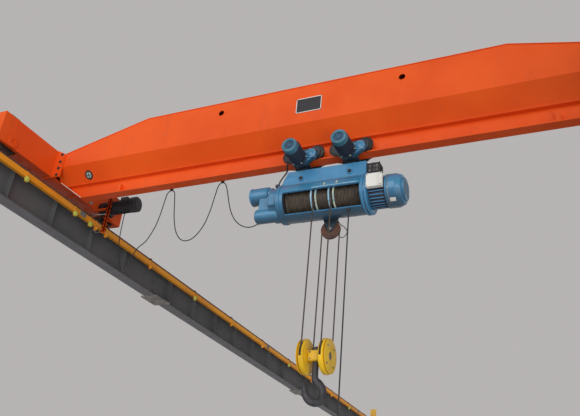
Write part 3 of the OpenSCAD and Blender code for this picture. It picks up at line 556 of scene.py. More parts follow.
supplyCable = {
    "diameter": 0.012,
    "route": [(551, 800, 589.7), (553, 800, 430), (570, 795, 200), (640, 770, -60), (800, 690, -330),
              (1020, 520, -455), (1260, 300, -450), (1450, 160, -360), (1590, 127, -280), (1680, 125, -110),
              (1722, 125, 60), (1744, 125, 220), (1764, 125, 350), (1792, 125, 388), (1820, 125, 396),
              (1848, 125, 388), (1876, 125, 350), (1905, 125, 200), (1940, 125, 0), (2000, 125, -190),
              (2080, 125, -305), (2175, 125, -345), (2280, 125, -310), (2380, 125, -180), (2440, 125, 0),
              (2475, 125, 200), (2500, 125, 345), (2527, 125, 388), (2555, 125, 396), (2583, 125, 388),
              (2612, 125, 350), (2650, 125, 240), (2695, 125, 80), (2745, 125, -50), (2820, 125, -165),
              (2915, 125, -240), (3020, 125, -268), (3120, 125, -240), (3200, 125, -204), (3270, 125, -190),
              (3344.7, 125, -190)],  # millimetres, y from the girder's middle
}
pendant = {"diameter": 0.014, "x": 4.283, "y": girderY - 0.09, "top": -0.342, "length": 3.48,
           "caseFront": 0.0345, "neck": 0.0495}  # from the cable's middle, and down from its end


def hangSupplyCable():
    # the cable's route made smooth and even, with a round section
    route = np.array(supplyCable["route"]) / 1000 + [0, girderY, 0]
    path, length = evenly(smoothed(route, 24), 0.02)
    grid = tubeGrid(path, supplyCable["diameter"] / 2, 12, (0.05, 1, 0.02))
    cable = gridPiece("supplyCable", grid, None, "cable_black", uvSize=length, stands=("festoon_cable",))
    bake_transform(cable)
    return length


def hangPendant():
    # a plumb line from the gland, with a round section
    top = np.array([pendant["x"], pendant["y"], pendant["top"]])
    path = top + np.linspace(0, pendant["length"], 120)[:, None] * np.array([0, 0, -1.0])
    grid = tubeGrid(path, pendant["diameter"] / 2, 12, (0, 1, 0))
    cable = gridPiece("pendantCable", grid, "trolley", "cable_black", uvSize=pendant["length"],
                      stands=("pendant_cable",))
    paintPendant()


def paintPendant():
    # the pendant's CAD case stays; faces of its neck and buttons get the black finish
    case = frame["nodes"]["pendant_box"]
    mesh = case.data
    mesh.materials.append(finishes["black_paint"])
    middles = np.zeros(len(mesh.polygons) * 3)
    mesh.polygons.foreach_get("center", middles)
    middles = middles.reshape(-1, 3)
    front, neckFoot = pendant["y"] - pendant["caseFront"], pendant["top"] - pendant["length"] - pendant["neck"]
    dark = (middles[:, 1] < front) | (middles[:, 2] > neckFoot)
    mesh.polygons.foreach_set("material_index", dark.astype(np.int32))
    return case


shell = {"z": -0.117, "radius": 0.215, "wall": 0.006, "left": 3.515, "disc": 0.042, "right": 4.425,
         "window": (171.7, 240.0), "rings": (4.437, 4.473), "ringWidth": 0.022, "motor": (4.500, 4.673)}
shellAxis = (0, girderY, shell["z"])
shellMiddle = shellAxis[1:]
rope = {"diameter": 0.015, "lay": 0.10, "lobes": 0.16, "around": 12, "step": 0.009}
drum = {"z": shell["z"], "pitchRadius": 0.15, "pitch": 0.0155, "turns": 19, "ends": (3.567, 4.412), "shaft": 3.470}
ropeX = (3.9, 4.1)
blockZ = -1.839
equaliser = {"x": 4.0, "y": girderY + 0.15, "z": -0.407, "radius": 0.10, "plate": 0.008,
             "plates": (("Front", -0.030), ("Back", 0.022))}  # where they start, from the sheave's middle


def ropePiece(name, path, body, length, sideways=(1, 0, 0), stands=()):
    # the wire rope's section carried along a path
    grid = tubeGrid(path, rope["diameter"] / 2, rope["around"], sideways, rope["lobes"], rope["lay"])
    return gridPiece(name, grid, body, "rope_steel", uvSize=length, stands=stands, sharp=60)


def windDrum():
    # each half is a screw line: x moves one pitch a turn, y and z run round the drum from the front
    turns, r = drum["turns"], drum["pitchRadius"]
    angle = np.linspace(0, 2 * np.pi * turns, turns * 60 + 1)
    for name, x, hand in (("drumRopeLeft", ropeX[0], -1), ("drumRopeRight", ropeX[1], 1)):
        path = np.stack([x + hand * drum["pitch"] * angle / (2 * np.pi), girderY - r * np.cos(angle),
                         drum["z"] + r * np.sin(angle)], -1)
        ropePiece(name, path, "drum", 2 * np.pi * r * turns, stands=("drum_rope",) if hand < 0 else ())


def turnDrum():
    # the barrel's radius rises between grooves that lie one rope pitch apart
    x0, x1 = drum["ends"]
    core = drum["pitchRadius"] - rope["diameter"] / 2
    x = np.linspace(x0 + 0.016, x1, int((x1 - x0) / drum["pitch"] * 8))
    groove = core + 0.0035 * (1 - np.abs(np.cos(np.pi * (x - ropeX[0]) / drum["pitch"])))
    profile = np.concatenate([
        [[0.0, drum["shaft"]], [0.03995, drum["shaft"]], [0.03995, x0], [0.154, x0], [0.156, x0 + 0.002],
         [0.156, x0 + 0.014], [0.154, x0 + 0.016]],
        np.stack([groove, x], -1), [[core - 0.004, x1], [0.12, x1], [0.0, x1]]])
    turnedPiece("ropeDrum", profile, (0, girderY, drum["z"]), "x", "drum", "drum_grease", 72, ("rope_drum",), 50)


def hangFalls():
    # four straight falls, the front pair from the drum and the back pair from the equaliser
    rows = (("Front", girderY - drum["pitchRadius"], drum["z"]),
            ("Back", girderY + drum["pitchRadius"], equaliser["z"]))
    for k, x in enumerate(ropeX):
        for row, y, top in rows:
            height = np.linspace(top, blockZ, int((top - blockZ) / rope["step"]) + 1)
            path = np.stack([np.full_like(height, x), np.full_like(height, y), height], -1)
            fall = ropePiece("ropeFall" + row + str(k + 1), path, None, top - blockZ,
                             stands=("rope_falls_" + row.lower(),))
            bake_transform(fall)


def ropeUnderBlock():
    # half a circle under each sheave
    r = drum["pitchRadius"]
    for k, x in enumerate(ropeX):
        path = roundAxis(r, np.linspace(np.pi, 2 * np.pi, 64), x, (0, girderY, blockZ), "x")
        ropePiece("ropeUnderBlock" + str(k + 1), path, "hook_block", np.pi * r, stands=("block_rope",))


def equaliserGroup():
    # a grooved sheave with the rope over it, between two plates that reach up to the casing
    x, y, z, r = equaliser["x"], equaliser["y"], equaliser["z"], equaliser["radius"]
    half = 0.018
    rim = [(0.020, -half), (0.036, -half), (0.040, -0.011), (0.078, -0.009), (0.086, -half + 0.001), (0.106, -half),
           (r + 0.009, -half + 0.003), (r + 0.0085, -0.0135), (r - 0.003, -0.0075)]
    ringPiece("equaliserSheave", mirrored(rim, [(r - 0.0075, 0.0)]), (x, y, z), "y", "trolley", "sheave_rust", 64,
              ("equaliser_sheave",))
    angle = np.linspace(0, np.pi, 48)
    path = np.stack([x + r * np.cos(angle), np.full_like(angle, y), z + r * np.sin(angle)], -1)
    ropePiece("equaliserRope", path, "trolley", np.pi * r, (0, 1, 0))
    for name, near in equaliser["plates"]:
        reach = y - girderY + near + equaliser["plate"] / 2  # from the hoist's middle, where the plate meets the casing
        high = shell["z"] - math.sqrt(shell["radius"]**2 - reach**2) - z
        side = [(0.020, -0.032), (0.036, -0.010), (0.070, 0.060), (0.073, high)]
        outline = [(x + a, z + b) for a, b in side] + [(x - a, z + b) for a, b in side[::-1]]
        slabPiece("equaliserPlate" + name, outline, y + near, y + near + equaliser["plate"], "y", *oiled)
    pin = [(0.0, -0.046), (0.016, -0.046), (0.020, -0.042), (0.020, 0.040), (0.0, 0.040)]
    turnedPiece("equaliserPin", pin, (x, y, z), "y", *steel, 32)


windDrum()
turnDrum()
hangFalls()
ropeUnderBlock()
equaliserGroup()
print("ropes, drum and equaliser made")

block = {"radius": 0.172, "halfWidth": 0.031, "wall": 0.005, "slot": 0.013, "headHalf": (0.058, 0.052),
         "frontSlot": (138, 190), "backSlot": (350, 42)}  # where the slots lie, in degrees round the rim
blockAt = (4.0, girderY, blockZ)


def coverSheaves():
    # a dished disc on each side and a rolled rim between, closed round the axle;
    # faces of the rim are left out where the ropes come in at the front and the back
    r, h, s = block["radius"], block["halfWidth"], block["slot"]
    side = [(0.025, h - 0.003), (0.046, h - 0.003), (0.054, h), (0.118, h), (0.126, h - 0.003), (0.150, h - 0.003),
            (0.158, h - 0.0045), (0.166, h - 0.010), (r, s + 0.001), (r, s)]
    profile = mirrored(side, [(r, -s)])  # the slot's far edge comes twice: the wall is uneven there, by 5 mm
    cols = 144
    turn = (np.arange(cols) + 0.5) * 360 / cols
    back = (turn < block["backSlot"][1]) | (turn > block["backSlot"][0])
    front = (turn > block["frontSlot"][0]) & (turn < block["frontSlot"][1])
    keep = np.ones((len(profile) - 1, cols), bool)
    keep[side.index((r, s))] = ~(back | front)
    for k, x in enumerate(ropeX):
        grid = turnedGrid(profile, (x, girderY, blockZ), "x", cols)
        cover = gridPiece("sheaveCover" + str(k + 1), grid, *yellow, capped=False, keep=keep,
                          stands=("sheave_covers",))
        wall = cover.modifiers.new("wall", "SOLIDIFY")
        wall.thickness = block["wall"]
        wall.offset = -1
    deep, tall = block["headHalf"]
    boxPiece("crosshead", (ropeX[0] + h - 0.002, ropeX[1] - h + 0.002), (girderY - deep, girderY + deep),
             (blockZ - tall, blockZ + tall), *yellow, 0.012)
    face = ropeX[1] - blockAt[0] + h
    for k, (s, name) in enumerate(((-1, "Left"), (1, "Right"))):
        end = face + 0.014
        axle = [(0.0, end), (0.030, end), (0.036, end - 0.004), (0.038, end - 0.012), (0.038, end - 0.014),
                (0.025, end - 0.014), (0.025, 0.035), (0.0, 0.035)]
        turnedPiece("blockAxle" + str(k + 1), [(a, s * b) for a, b in axle], blockAt, "x", *ironOnBlock, 40,
                    ("block_axle",) if k == 0 else ())
        tips = [(blockAt[0] + s * face, girderY, blockZ + b) for b in (0.075, -0.075)]
        boltHeads("axleKeeper" + name, tips, (s, 0, 0), 0.009, "hook_block")


def grooveSheaves():
    # a web between hub and rim, the rope's groove round the outside
    half, r = 0.018, drum["pitchRadius"]
    rim = [(0.02505, -half), (0.050, -half), (0.054, -0.008), (0.118, -0.007), (0.128, -half), (r + 0.009, -half),
           (r + 0.009, -0.0135), (r - 0.002, -0.009)]
    for k, x in enumerate(ropeX):
        ringPiece("hookSheave" + str(k + 1), mirrored(rim, [(r - 0.0085, 0.0)]), (x, girderY, blockZ), "x",
                  "block_sheaves", "sheave_rust", stands=("hook_sheaves",))


hook = {
    "turn": 50,  # degrees about the shank
    "spine": [(0, -0.10), (0, -0.15), (0.001, -0.195), (0.014, -0.230), (0.045, -0.250), (0.074, -0.276),
              (0.091, -0.312), (0.093, -0.350), (0.081, -0.387), (0.052, -0.415), (0.012, -0.425), (-0.032, -0.419),
              (-0.068, -0.396), (-0.089, -0.360), (-0.097, -0.322), (-0.105, -0.288), (-0.116, -0.258)],
    "inPlane": [0.030, 0.030, 0.033, 0.040, 0.043, 0.042, 0.040, 0.039, 0.039, 0.040, 0.041, 0.040, 0.038, 0.035,
                0.030, 0.023, 0.010],
    "across": [0.030, 0.030, 0.031, 0.033, 0.034, 0.034, 0.034, 0.034, 0.035, 0.036, 0.036, 0.035, 0.032, 0.028,
               0.024, 0.019, 0.009],
}


def forgeHook():
    # an oval carried along the shank and round the bowl: wide at the saddle, thin at the tip
    steps = 6
    curve = smoothed([(x, 0, z) for x, z in hook["spine"]], steps)
    at, knots = np.arange(len(curve)) / steps, np.arange(len(hook["spine"]))
    a, b = np.interp(at, knots, hook["inPlane"]), np.interp(at, knots, hook["across"])
    t = unitVectors(np.gradient(curve, axis=0))
    out = np.cross(t, [0, 1.0, 0])
    w = 2 * np.pi * np.arange(28) / 28
    grid = curve[:, None, :] + (a[:, None] * np.cos(w))[..., None] * out[:, None, :] \
        + (b[:, None] * np.sin(w))[..., None] * np.array([0, 1.0, 0])
    turn = math.radians(hook["turn"])
    spin = np.array([[math.cos(turn), -math.sin(turn), 0], [math.sin(turn), math.cos(turn), 0], [0, 0, 1]])
    gridPiece("forgedHook", grid @ spin.T + np.array(blockAt), "hook", "hook_steel", stands=("hook",), sharp=60)
    turnedPiece("hookShank", [(0.0, 0.094), (0.022, 0.094), (0.026, 0.090), (0.026, 0.084), (0.044, 0.084),
                              (0.044, 0.060), (0.040, 0.057), (0.030, 0.057), (0.030, -0.102), (0.0, -0.102)],
                blockAt, "z", "hook", "hook_steel", 40)
    turnedPiece("thrustBearing", [(0.031, 0.0525), (0.050, 0.0525), (0.050, 0.0565), (0.031, 0.0565)],
                blockAt, "z", *ironOnBlock, 40)


coverSheaves()
grooveSheaves()
forgeHook()
print("hook block and hook made")

gearbox = {"body": (0.192, 0.185, 0.186),  # the body's round reach, and where its sides and its top are cut flat
           "upper": (0, girderY - 0.05, shell["z"] + 0.118), "lower": (0, girderY - 0.06, shell["z"] - 0.145)}
motor = {"fins": 28, "core": 0.148, "tip": 0.170}
terminal = {"x": (4.502, 4.673), "front": girderY - 0.240, "z": (-0.173, -0.015)}
control = {"x": (4.442, 4.585), "y": (girderY - 0.040, girderY + 0.090), "z": (0.112, 0.248)}
guide = {"inner": 0.1626, "outer": 0.1784, "half": 0.034, "ring": 0.016}


def aroundShell(x, radius, angles):
    # places on a circle round the hoist: y = r cos a from the girder's middle, z = r sin a from the axis
    return roundAxis(radius, np.radians(np.asarray(angles, float)), x, shellAxis, "x")


def rollShell():
    # a bent sheet open at the rope's window, its lips, end disc, flange rings and small fittings
    r, w = shell["radius"], shell["wall"]
    x0, x1 = shell["left"], shell["right"]
    inside = x0 + shell["disc"]
    high, low = shell["window"]
    slabPiece("hoistShell", arcBand(shellMiddle, r - w, r, low, 360 + high, 96), inside, x1, "x", *blue,
              0.0015, ("hoist_casing",))
    for name, depth, start, end in (("upperLip", 0.020, high - 2.0, high), ("lowerLip", 0.014, low, low + 1.6)):
        slabPiece(name, arcBand(shellMiddle, r - depth, r + 0.002, start, end, 4), inside, x1, "x", *pale, 0.001)
    ringPiece("shellEndDisc", [(0.060, x0), (r - 0.003, x0), (r, x0 + 0.003), (r, inside), (0.060, inside)],
              shellAxis, "x", *blue)
    ringPiece("shellEndLining", [(0.062, inside), (r - w, inside), (r - w, inside + 0.002), (0.062, inside + 0.002)],
              shellAxis, "x", *black)
    ringPiece("motorSeat", [(0.1395, x1), (r, x1), (r, shell["motor"][0]), (0.1395, shell["motor"][0])],
              shellAxis, "x", *blue)
    for k, x in enumerate(shell["rings"]):
        end = x + shell["ringWidth"]
        profile = [(r - 0.004, x), (r + 0.007, x), (r + 0.010, x + 0.003), (r + 0.010, end - 0.003), (r + 0.007, end),
                   (r - 0.004, end)]
        ringPiece("flangeRing" + str(k + 1), profile, shellAxis, "x", *pale, 96)
    boltHeads("flangeRingBolts", aroundShell(shell["rings"][1] - 0.012, r, np.arange(12, 372, 24)), (1, 0, 0),
              0.007, "trolley")
    rodX0, rodX1 = inside + 0.34, x1 - 0.02
    _, y, z = aroundShell(0.0, r + 0.006, [high - 3.0])[0]
    # the rod wears the pale guide finish: its colour is partly painted reflection
    turnedPiece("guideRod", [(0.0, rodX0), (0.005, rodX0), (0.005, rodX1), (0.0, rodX1)], (0, y, z), "x",
                "trolley", "guide_pale", 16)
    rests = [(x, y + 0.004, z + 0.001) for x in np.linspace(rodX0 + 0.02, rodX1 - 0.01, 4)]
    manyBoxes("guideRodRests", rests, (0.008, 0.007, 0.007), *blue)
    gland = [(0.0, -0.342), (0.011, -0.342), (0.016, -0.337), (0.016, -0.303), (0.0, -0.303)]
    turnedPiece("pendantGland", gland, (pendant["x"], pendant["y"], 0), "z", *black, 24)
    tabs = aroundShell(np.array([4.035, 4.175]), r + 0.004, [160, 160])
    manyBoxes("ropeClampTabs", tabs, (0.009, 0.005, 0.016), *worn, -20, 0)
    for k, x in enumerate((3.70, 4.00, 4.28)):
        weld = arcBand(shellMiddle, r - 0.001, r + 0.0015, low + 4, low + 100, 40)
        slabPiece("shellWeld" + str(k + 1), weld, x - 0.003, x + 0.003, "x", *blue, 0.0)


def castGearbox():
    # a body with flats at its sides, two round cases for the gears joined by a neck, a flange ring with bolts
    w = np.radians(np.arange(0, 360, 5))
    c, s = np.maximum(np.abs(np.cos(w)), 1e-6), np.maximum(np.abs(np.sin(w)), 1e-6)
    far, flatSide, flatTop = gearbox["body"]
    reach = np.minimum(far, np.minimum(flatSide / c, flatTop / s))
    outline = np.stack([girderY + reach * np.cos(w), shell["z"] + reach * np.sin(w)], -1)
    slabPiece("gearboxBody", outline, 3.375, 3.4625, "x", *blue, 0.008, ("hoist_gearbox",))
    flange = [(0.0405, 3.4625), (0.186, 3.4625), (0.186, 3.473), (0.220, 3.473), (0.223, 3.476), (0.223, 3.512),
              (0.220, 3.515), (0.0405, 3.515)]
    ringPiece("gearboxFlange", flange, shellAxis, "x", *blue, 96)
    upper, lower = gearbox["upper"], gearbox["lower"]
    upperProfile = [(0.0, 3.103), (0.036, 3.103), (0.040, 3.101), (0.083, 3.101), (0.090, 3.106), (0.090, 3.113),
                    (0.096, 3.113), (0.102, 3.119), (0.102, 3.132), (0.099, 3.135), (0.099, 3.322), (0.095, 3.328),
                    (0.080, 3.330), (0.080, 3.378), (0.0, 3.378)]
    lowerProfile = [(0.0, 3.195), (0.030, 3.195), (0.034, 3.193), (0.066, 3.193), (0.072, 3.198), (0.072, 3.203),
                    (0.078, 3.203), (0.082, 3.208), (0.082, 3.467), (0.078, 3.473), (0.0, 3.473)]
    turnedPiece("upperGearCase", upperProfile, upper, "x", *blue, 80)
    turnedPiece("lowerGearCase", lowerProfile, lower, "x", *blue, 64)
    half = np.linspace(0, 180, 24)
    neck = [arcPoints(upper[1:], 0.070, half), arcPoints(lower[1:], 0.062, half + 180)]
    slabPiece("gearCaseNeck", np.concatenate(neck), 3.235, 3.3755, "x", *blue, 0.004)
    ringPiece("upperCaseRim", [(0.090, 3.1125), (0.1020, 3.1125), (0.1028, 3.124), (0.090, 3.124)], upper, "x",
              *pale, 80)
    boltHeads("upperCaseBolts", places(upper, 0.072, "x", 6, 0.3, 3.101), (-1, 0, 0), 0.008, *black)
    boltHeads("lowerCaseBolts", places(lower, 0.054, "x", 5, 0.3, 3.193), (-1, 0, 0), 0.008, *black)
    boltHeads("gearboxFlangeBolts", aroundShell(3.473, 0.205, np.arange(15, 375, 30)), (-1, 0, 0), 0.010, *black)
    ribs = np.array([(3.42, -0.125, 0.02), (3.42, -0.15, -0.06), (3.42, 0.13, 0)]) + shellAxis
    manyBoxes("gearboxRibs", ribs, (0.046, 0.060, 0.006), *blue, [20, 40, -10], 0)
    boltHeads("oilPlugs", [(3.30, girderY - 0.05, shell["z"] + 0.2175)], (0, 0, 1), 0.014, *worn)
    turnedPiece("supplyGland", [(0.0, 3.345), (0.010, 3.345), (0.015, 3.350), (0.015, 3.376), (0.0, 3.376)],
                (0, girderY + 0.125, -0.19), "x", *black, 24)


def finHoistMotor():
    # thick fins along the motor: the radius steps between core and tip for each fin; then its fan cover
    x0, x1 = shell["motor"]
    count, core, tip = motor["fins"], motor["core"], motor["tip"]
    step = [core, core, core + 0.002, tip - 0.002, tip, tip, tip - 0.002, core + 0.002]
    shift = [0.0, 0.24, 0.46, 0.50, 0.54, 0.90, 0.94, 0.985]
    rows = [(x0, 0.985), (x0 + 0.004, 1.0), (x1 - 0.004, 1.0), (x1, 0.985)]
    gridPiece("hoistMotor", finGrid(step, shift, count, rows, shellAxis, "x"), *navy, stands=("hoist_motor",),
              sharp=30)
    turnedPiece("motorSpigot", [(0.0, shell["right"]), (0.139, shell["right"]), (0.139, x0), (0.0, x0)], shellAxis,
                "x", *steel, 64)
    # pale strips down the middle of each fin's crest: painted highlight
    angles = (np.arange(count) + 0.72) * 360 / count
    manyBoxes("finCrestHighlights", aroundShell((x0 + x1) / 2, tip + 0.0002, angles), ((x1 - x0) / 2 - 0.012, 0.0010, 0.0050),
              *pale, angles, 0)
    boxPiece("motorPad", (4.523, 4.658), (girderY - 0.171, girderY - 0.10), (shell["z"] - 0.040, shell["z"] + 0.080),
             *navy, 0.004)
    cover = [(0.0, 4.6735), (0.172, 4.6735), (0.180, 4.677), (0.180, 4.692), (0.176, 4.694), (0.176, 4.702),
             (0.180, 4.704), (0.180, 4.775), (0.1785, 4.786), (0.160, 4.833), (0.154, 4.841), (0.145, 4.845),
             (0.128, 4.8465), (0.128, 4.858), (0.120, 4.865), (0.030, 4.8655), (0.0, 4.8655)]
    turnedPiece("motorCover", cover, shellAxis, "x", *blue, 96, ("motor_cover",))
    vents = [(4.8655, girderY + y, shell["z"] + z) for z in np.arange(-0.08, 0.09, 0.02)
             for y in (-0.05, 0.05) if y * y + z * z < 0.0100]
    manyBoxes("coverVents", vents, (0.0006, 0.036, 0.004), *black)
    slabPiece("coverStrap", arcBand(shellMiddle, 0.1795, 0.1815, 100, 260, 48), 4.706, 4.714, "x", *steel, 0.0)
    slabPiece("blankLabel", arcBand(shellMiddle, 0.1798, 0.1806, 232, 246, 8), 4.722, 4.782, "x", *white, 0.0)
    a = np.linspace(0, np.pi, 20)
    eye = np.stack([4.735 + 0.020 * np.cos(a), np.full_like(a, girderY), shell["z"] + 0.180 + 0.028 * np.sin(a)], -1)
    gridPiece("liftingEye", tubeGrid(eye, 0.006, 12, (0, 1, 0)), *black)


def runConduits():
    # a stiff conduit from the first travel motor to the gearbox, and a bent wire beside the equaliser
    down = [(3.600, -0.230, 0.300), (3.577, -0.200, 0.262), (3.545, -0.130, 0.236), (3.505, -0.105, 0.205),
            (3.468, -0.100, 0.155), (3.448, -0.100, 0.112), (3.443, -0.100, 0.075)]
    loop = [(4.088, 0.128, -0.325), (4.114, 0.140, -0.362), (4.160, 0.148, -0.400), (4.187, 0.150, -0.446),
            (4.172, 0.150, -0.492), (4.138, 0.150, -0.516), (4.112, 0.150, -0.505)]
    down, loop = (smoothed(np.array(route) + [0, girderY, 0], 8) for route in (down, loop))
    gridPiece("motorConduit", tubeGrid(down, 0.0085, 12, (0.2, 1, 0)), "trolley", "cable_black")
    gridPiece("ropeTailWire", tubeGrid(loop, 0.0045, 8, (0, 1, 0.1)), *black)
    boxPiece("conduitBox", (3.418, 3.462), (girderY - 0.130, girderY - 0.070), (0.052, 0.088), *navy, 0.004)
    boxPiece("equaliserBase", (3.925, 4.075), (girderY + 0.105, girderY + 0.190), (-0.318, -0.300), *oiled, 0.004)


def boxTerminals():
    # rounded housing, its lid with a seam and screws, and the vented control housing behind it
    (x0, x1), y0, (z0, z1) = terminal["x"], terminal["front"], terminal["z"]
    boxPiece("terminalBox", (x0, x1), (y0 + 0.012, y0 + 0.056), (z0, z1), *white, 0.010, ("terminal_box",))
    boxPiece("terminalLid", (x0, x1), (y0, y0 + 0.011), (z0, z1), *white, 0.010)
    boxPiece("terminalNeck", (4.533, 4.648), (girderY - 0.1845, girderY - 0.171), (-0.147, -0.047), *navy, 0.0)
    screws = [(x, y0, z) for x in (x0 + 0.014, x1 - 0.014) for z in (z0 + 0.014, z1 - 0.014)]
    boltHeads("terminalScrews", screws, (0, -1, 0), 0.005, "trolley")
    (x0, x1), (y0, y1), (z0, z1) = control["x"], control["y"], control["z"]
    middleX, middleY, tall = (x0 + x1) / 2, (y0 + y1) / 2, (z1 - z0) / 2
    levels = np.linspace(z0 + 0.008, z1 - 0.008, 7)
    boxPiece("controlBox", (x0, x1 - 0.012), (y0 + 0.012, y1 - 0.002), (z0 + 0.010, z1 - 0.004), *black, 0.003,
             ("control_box",))
    posts = [(x, y0 + 0.007, (z0 + z1) / 2) for x in (x0 + 0.007, middleX, x1 - 0.007)]
    manyBoxes("controlPosts", posts, (0.006, 0.007, tall), *black)
    manyBoxes("controlSlats", [(middleX, y0 + 0.006, z) for z in levels], ((x1 - x0) / 2, 0.006, 0.0045), *black, 25, 0)
    manyBoxes("controlSideSlats", [(x1 - 0.006, middleY, z) for z in levels], (0.006, (y1 - y0) / 2, 0.004), *black,
              25, 1)
    relays = [(x, y0 + 0.008, z) for x in (x0 + 0.035, x0 + 0.075, x0 + 0.110) for z in (z0 + 0.04, z0 + 0.095)]
    manyBoxes("controlRelays", relays, (0.013, 0.006, 0.018), *steel)


def guideRopes():
    # each guide: a light ring on its left, partly painted reflection, a worn one on its right, a band between them but
    # for the rope's slot
    low, high, half, wide, z = guide["inner"], guide["outer"], guide["half"], guide["ring"], shell["z"]
    for k, x in enumerate(ropeX):
        n = str(k + 1)
        for name, a, slotName in (("Left", x - half, "guide_pale"), ("Right", x + half - wide, "guide_steel")):
            b = a + wide
            profile = [(low, a), (high - 0.002, a), (high, a + 0.002), (high, b - 0.002), (high - 0.002, b), (low, b)]
            ringPiece("ropeGuide" + name + n, profile, shellAxis, "x", "trolley", slotName, 80,
                      ("rope_guides",) if k == 0 else ())
        slabPiece("ropeGuideBand" + n, arcBand(shellMiddle, low, high - 0.003, -88, 142, 60), x - half + wide,
                  x + half - wide, "x", *blue, 0.0)
        boxPiece("ropeGuideArm" + n, (x - half, x + half), (girderY - 0.030, girderY + 0.030),
                 (z + 0.170, z + 0.2065), *blue, 0.0)
        screws = [aroundShell(x + s * (half - wide / 2), high, a) for s in (-1, 1) for a in (150, 215)]
        boltHeads("ropeGuideScrews" + n, screws, (0, -1, 0.1), 0.005, "trolley")


rollShell()
castGearbox()
finHoistMotor()
boxTerminals()
runConduits()
guideRopes()
print("hoist made")

bogie = {"middles": (3.7, 4.265), "halfBase": 0.16, "axleZ": 0.4701, "motorX": -0.010, "motorZ": 0.363,
         "caseRadii": (0.078, 0.062)}  # gear case round the motor's line and round the last gear's


def mountTravelMotor(n, at, stands):
    # fins round the motor, a slotted face in a cap's ring, a bolted foot, the terminal box on top
    x, _, z = at
    step = [0.084, 0.084, 0.085, 0.095, 0.096, 0.096, 0.095, 0.085]
    shift = [0.0, 0.28, 0.50, 0.55, 0.60, 0.85, 0.90, 0.98]
    rows = [(-0.386, 0.975), (-0.380, 1.0), (-0.190, 1.0), (-0.184, 0.975)]
    gridPiece("travelMotor" + n, finGrid(step, shift, 24, rows, at, "y"), *navy, stands=stands, sharp=30)
    ring = [(0.056, -0.446), (0.062, -0.450), (0.078, -0.450), (0.086, -0.445), (0.088, -0.437), (0.088, -0.402),
            (0.085, -0.399), (0.085, -0.393), (0.088, -0.390), (0.088, -0.385), (0.056, -0.385)]
    ringPiece("travelCapRing" + n, ring, at, "y", "trolley", "cap_teal", 64)
    face = [(0.0, -0.442), (0.016, -0.442), (0.020, -0.439), (0.022, -0.432), (0.058, -0.432), (0.058, -0.386),
            (0.0, -0.386)]
    turnedPiece("travelCapFace" + n, face, at, "y", "trolley", "cap_face", 48)
    manyBoxes("travelCapSlots" + n, places(at, 0.040, "y", 8, 0.0, -0.4325), (0.0045, 0.001, 0.013), *navy,
              np.arange(8) * -45, 1)
    foot = [(0.060, -0.185), (0.098, -0.185), (0.100, -0.183), (0.100, -0.167), (0.098, -0.165), (0.060, -0.165)]
    ringPiece("travelFoot" + n, foot, at, "y", *oiled, 64)
    boltHeads("travelFootBolts" + n, places(at, 0.093, "y", 6, math.pi / 6, -0.185), (0, -1, 0), 0.0075, *worn)
    boxPiece("travelMotorBox" + n, (x - 0.046, x + 0.046), (girderY - 0.330, girderY - 0.230),
             (z + 0.080, z + 0.108), *navy, 0.004)
    boxPiece("travelMotorLid" + n, (x - 0.047, x + 0.047), (girderY - 0.331, girderY - 0.229),
             (z + 0.108, z + 0.116), *navy, 0.002)


def caseTravelGears(n, at, stands):
    # the case's outline is an arc round each of two axes, joined by the straight lines that touch both
    a, b = np.array([at[0], at[2]]), np.array([at[0] + 0.130, bogie["axleZ"] - 0.052])
    ra, rb = bogie["caseRadii"]
    d = b - a
    lean = math.degrees(math.atan2(d[1], d[0]))
    spread = math.degrees(math.acos((ra - rb) / np.linalg.norm(d)))
    wa, wb = np.linspace(lean + spread, lean + 360 - spread, 28), np.linspace(lean - spread, lean + spread, 22)
    front = girderY - 0.150
    slabPiece("travelGearCase" + n, np.concatenate([arcPoints(a, ra, wa), arcPoints(b, rb, wb)]), front,
              girderY - 0.0985, "y", *blue, 0.006, stands)
    cap = [(0.0, -0.164), (0.034, -0.164), (0.040, -0.160), (0.044, -0.158), (0.058, -0.158), (0.062, -0.154),
           (0.062, -0.148), (0.0, -0.148)]
    turnedPiece("travelGearCap" + n, cap, (b[0], girderY, b[1]), "y", *blue, 48)
    neck = [(0.0, -0.165), (0.078, -0.165), (0.078, -0.149), (0.0, -0.149)]
    turnedPiece("travelGearNeck" + n, neck, at, "y", *oiled, 48)
    paintedUnderside = arcPoints(a, 0.0795, np.linspace(144, 345.6, 30))
    slabPiece("travelGearShade" + n, np.concatenate([paintedUnderside, [a + (0.040, -0.020), a + (-0.030, 0.020)]]),
              front - 0.0012, girderY - 0.098, "y", *oiled, 0.0)
    rim = np.concatenate([arcPoints(a, ra - 0.011, wa[3::6]), arcPoints(b, rb - 0.004, wb[2::6])])
    boltHeads("travelGearBolts" + n, [(x, front, z) for x, z in rim], (0, -1, 0), 0.006, *worn)


def mountTravelDrives():
    # both motors with their gear cases, and the nuts on the axles and hangers of each bogie
    for k, x in enumerate(bogie["middles"]):
        n = str(k + 1)
        at = (x + bogie["motorX"], girderY, bogie["motorZ"])
        mountTravelMotor(n, at, ("travel_motors",) if k == 0 else ())
        caseTravelGears(n, at, ("travel_gearboxes",) if k == 0 else ())
        for side, name in sides:
            hubs = [(x + s * bogie["halfBase"], girderY + side * 0.098, bogie["axleZ"]) for s in (-1, 1)]
            boltHeads("axleNuts" + name + n, hubs, (0, side, 0), 0.017, *black)
            boltHeads("hangerNut" + name + n, [(x, girderY + side * 0.088, 0.154)], (0, side, 0), 0.017, *black)


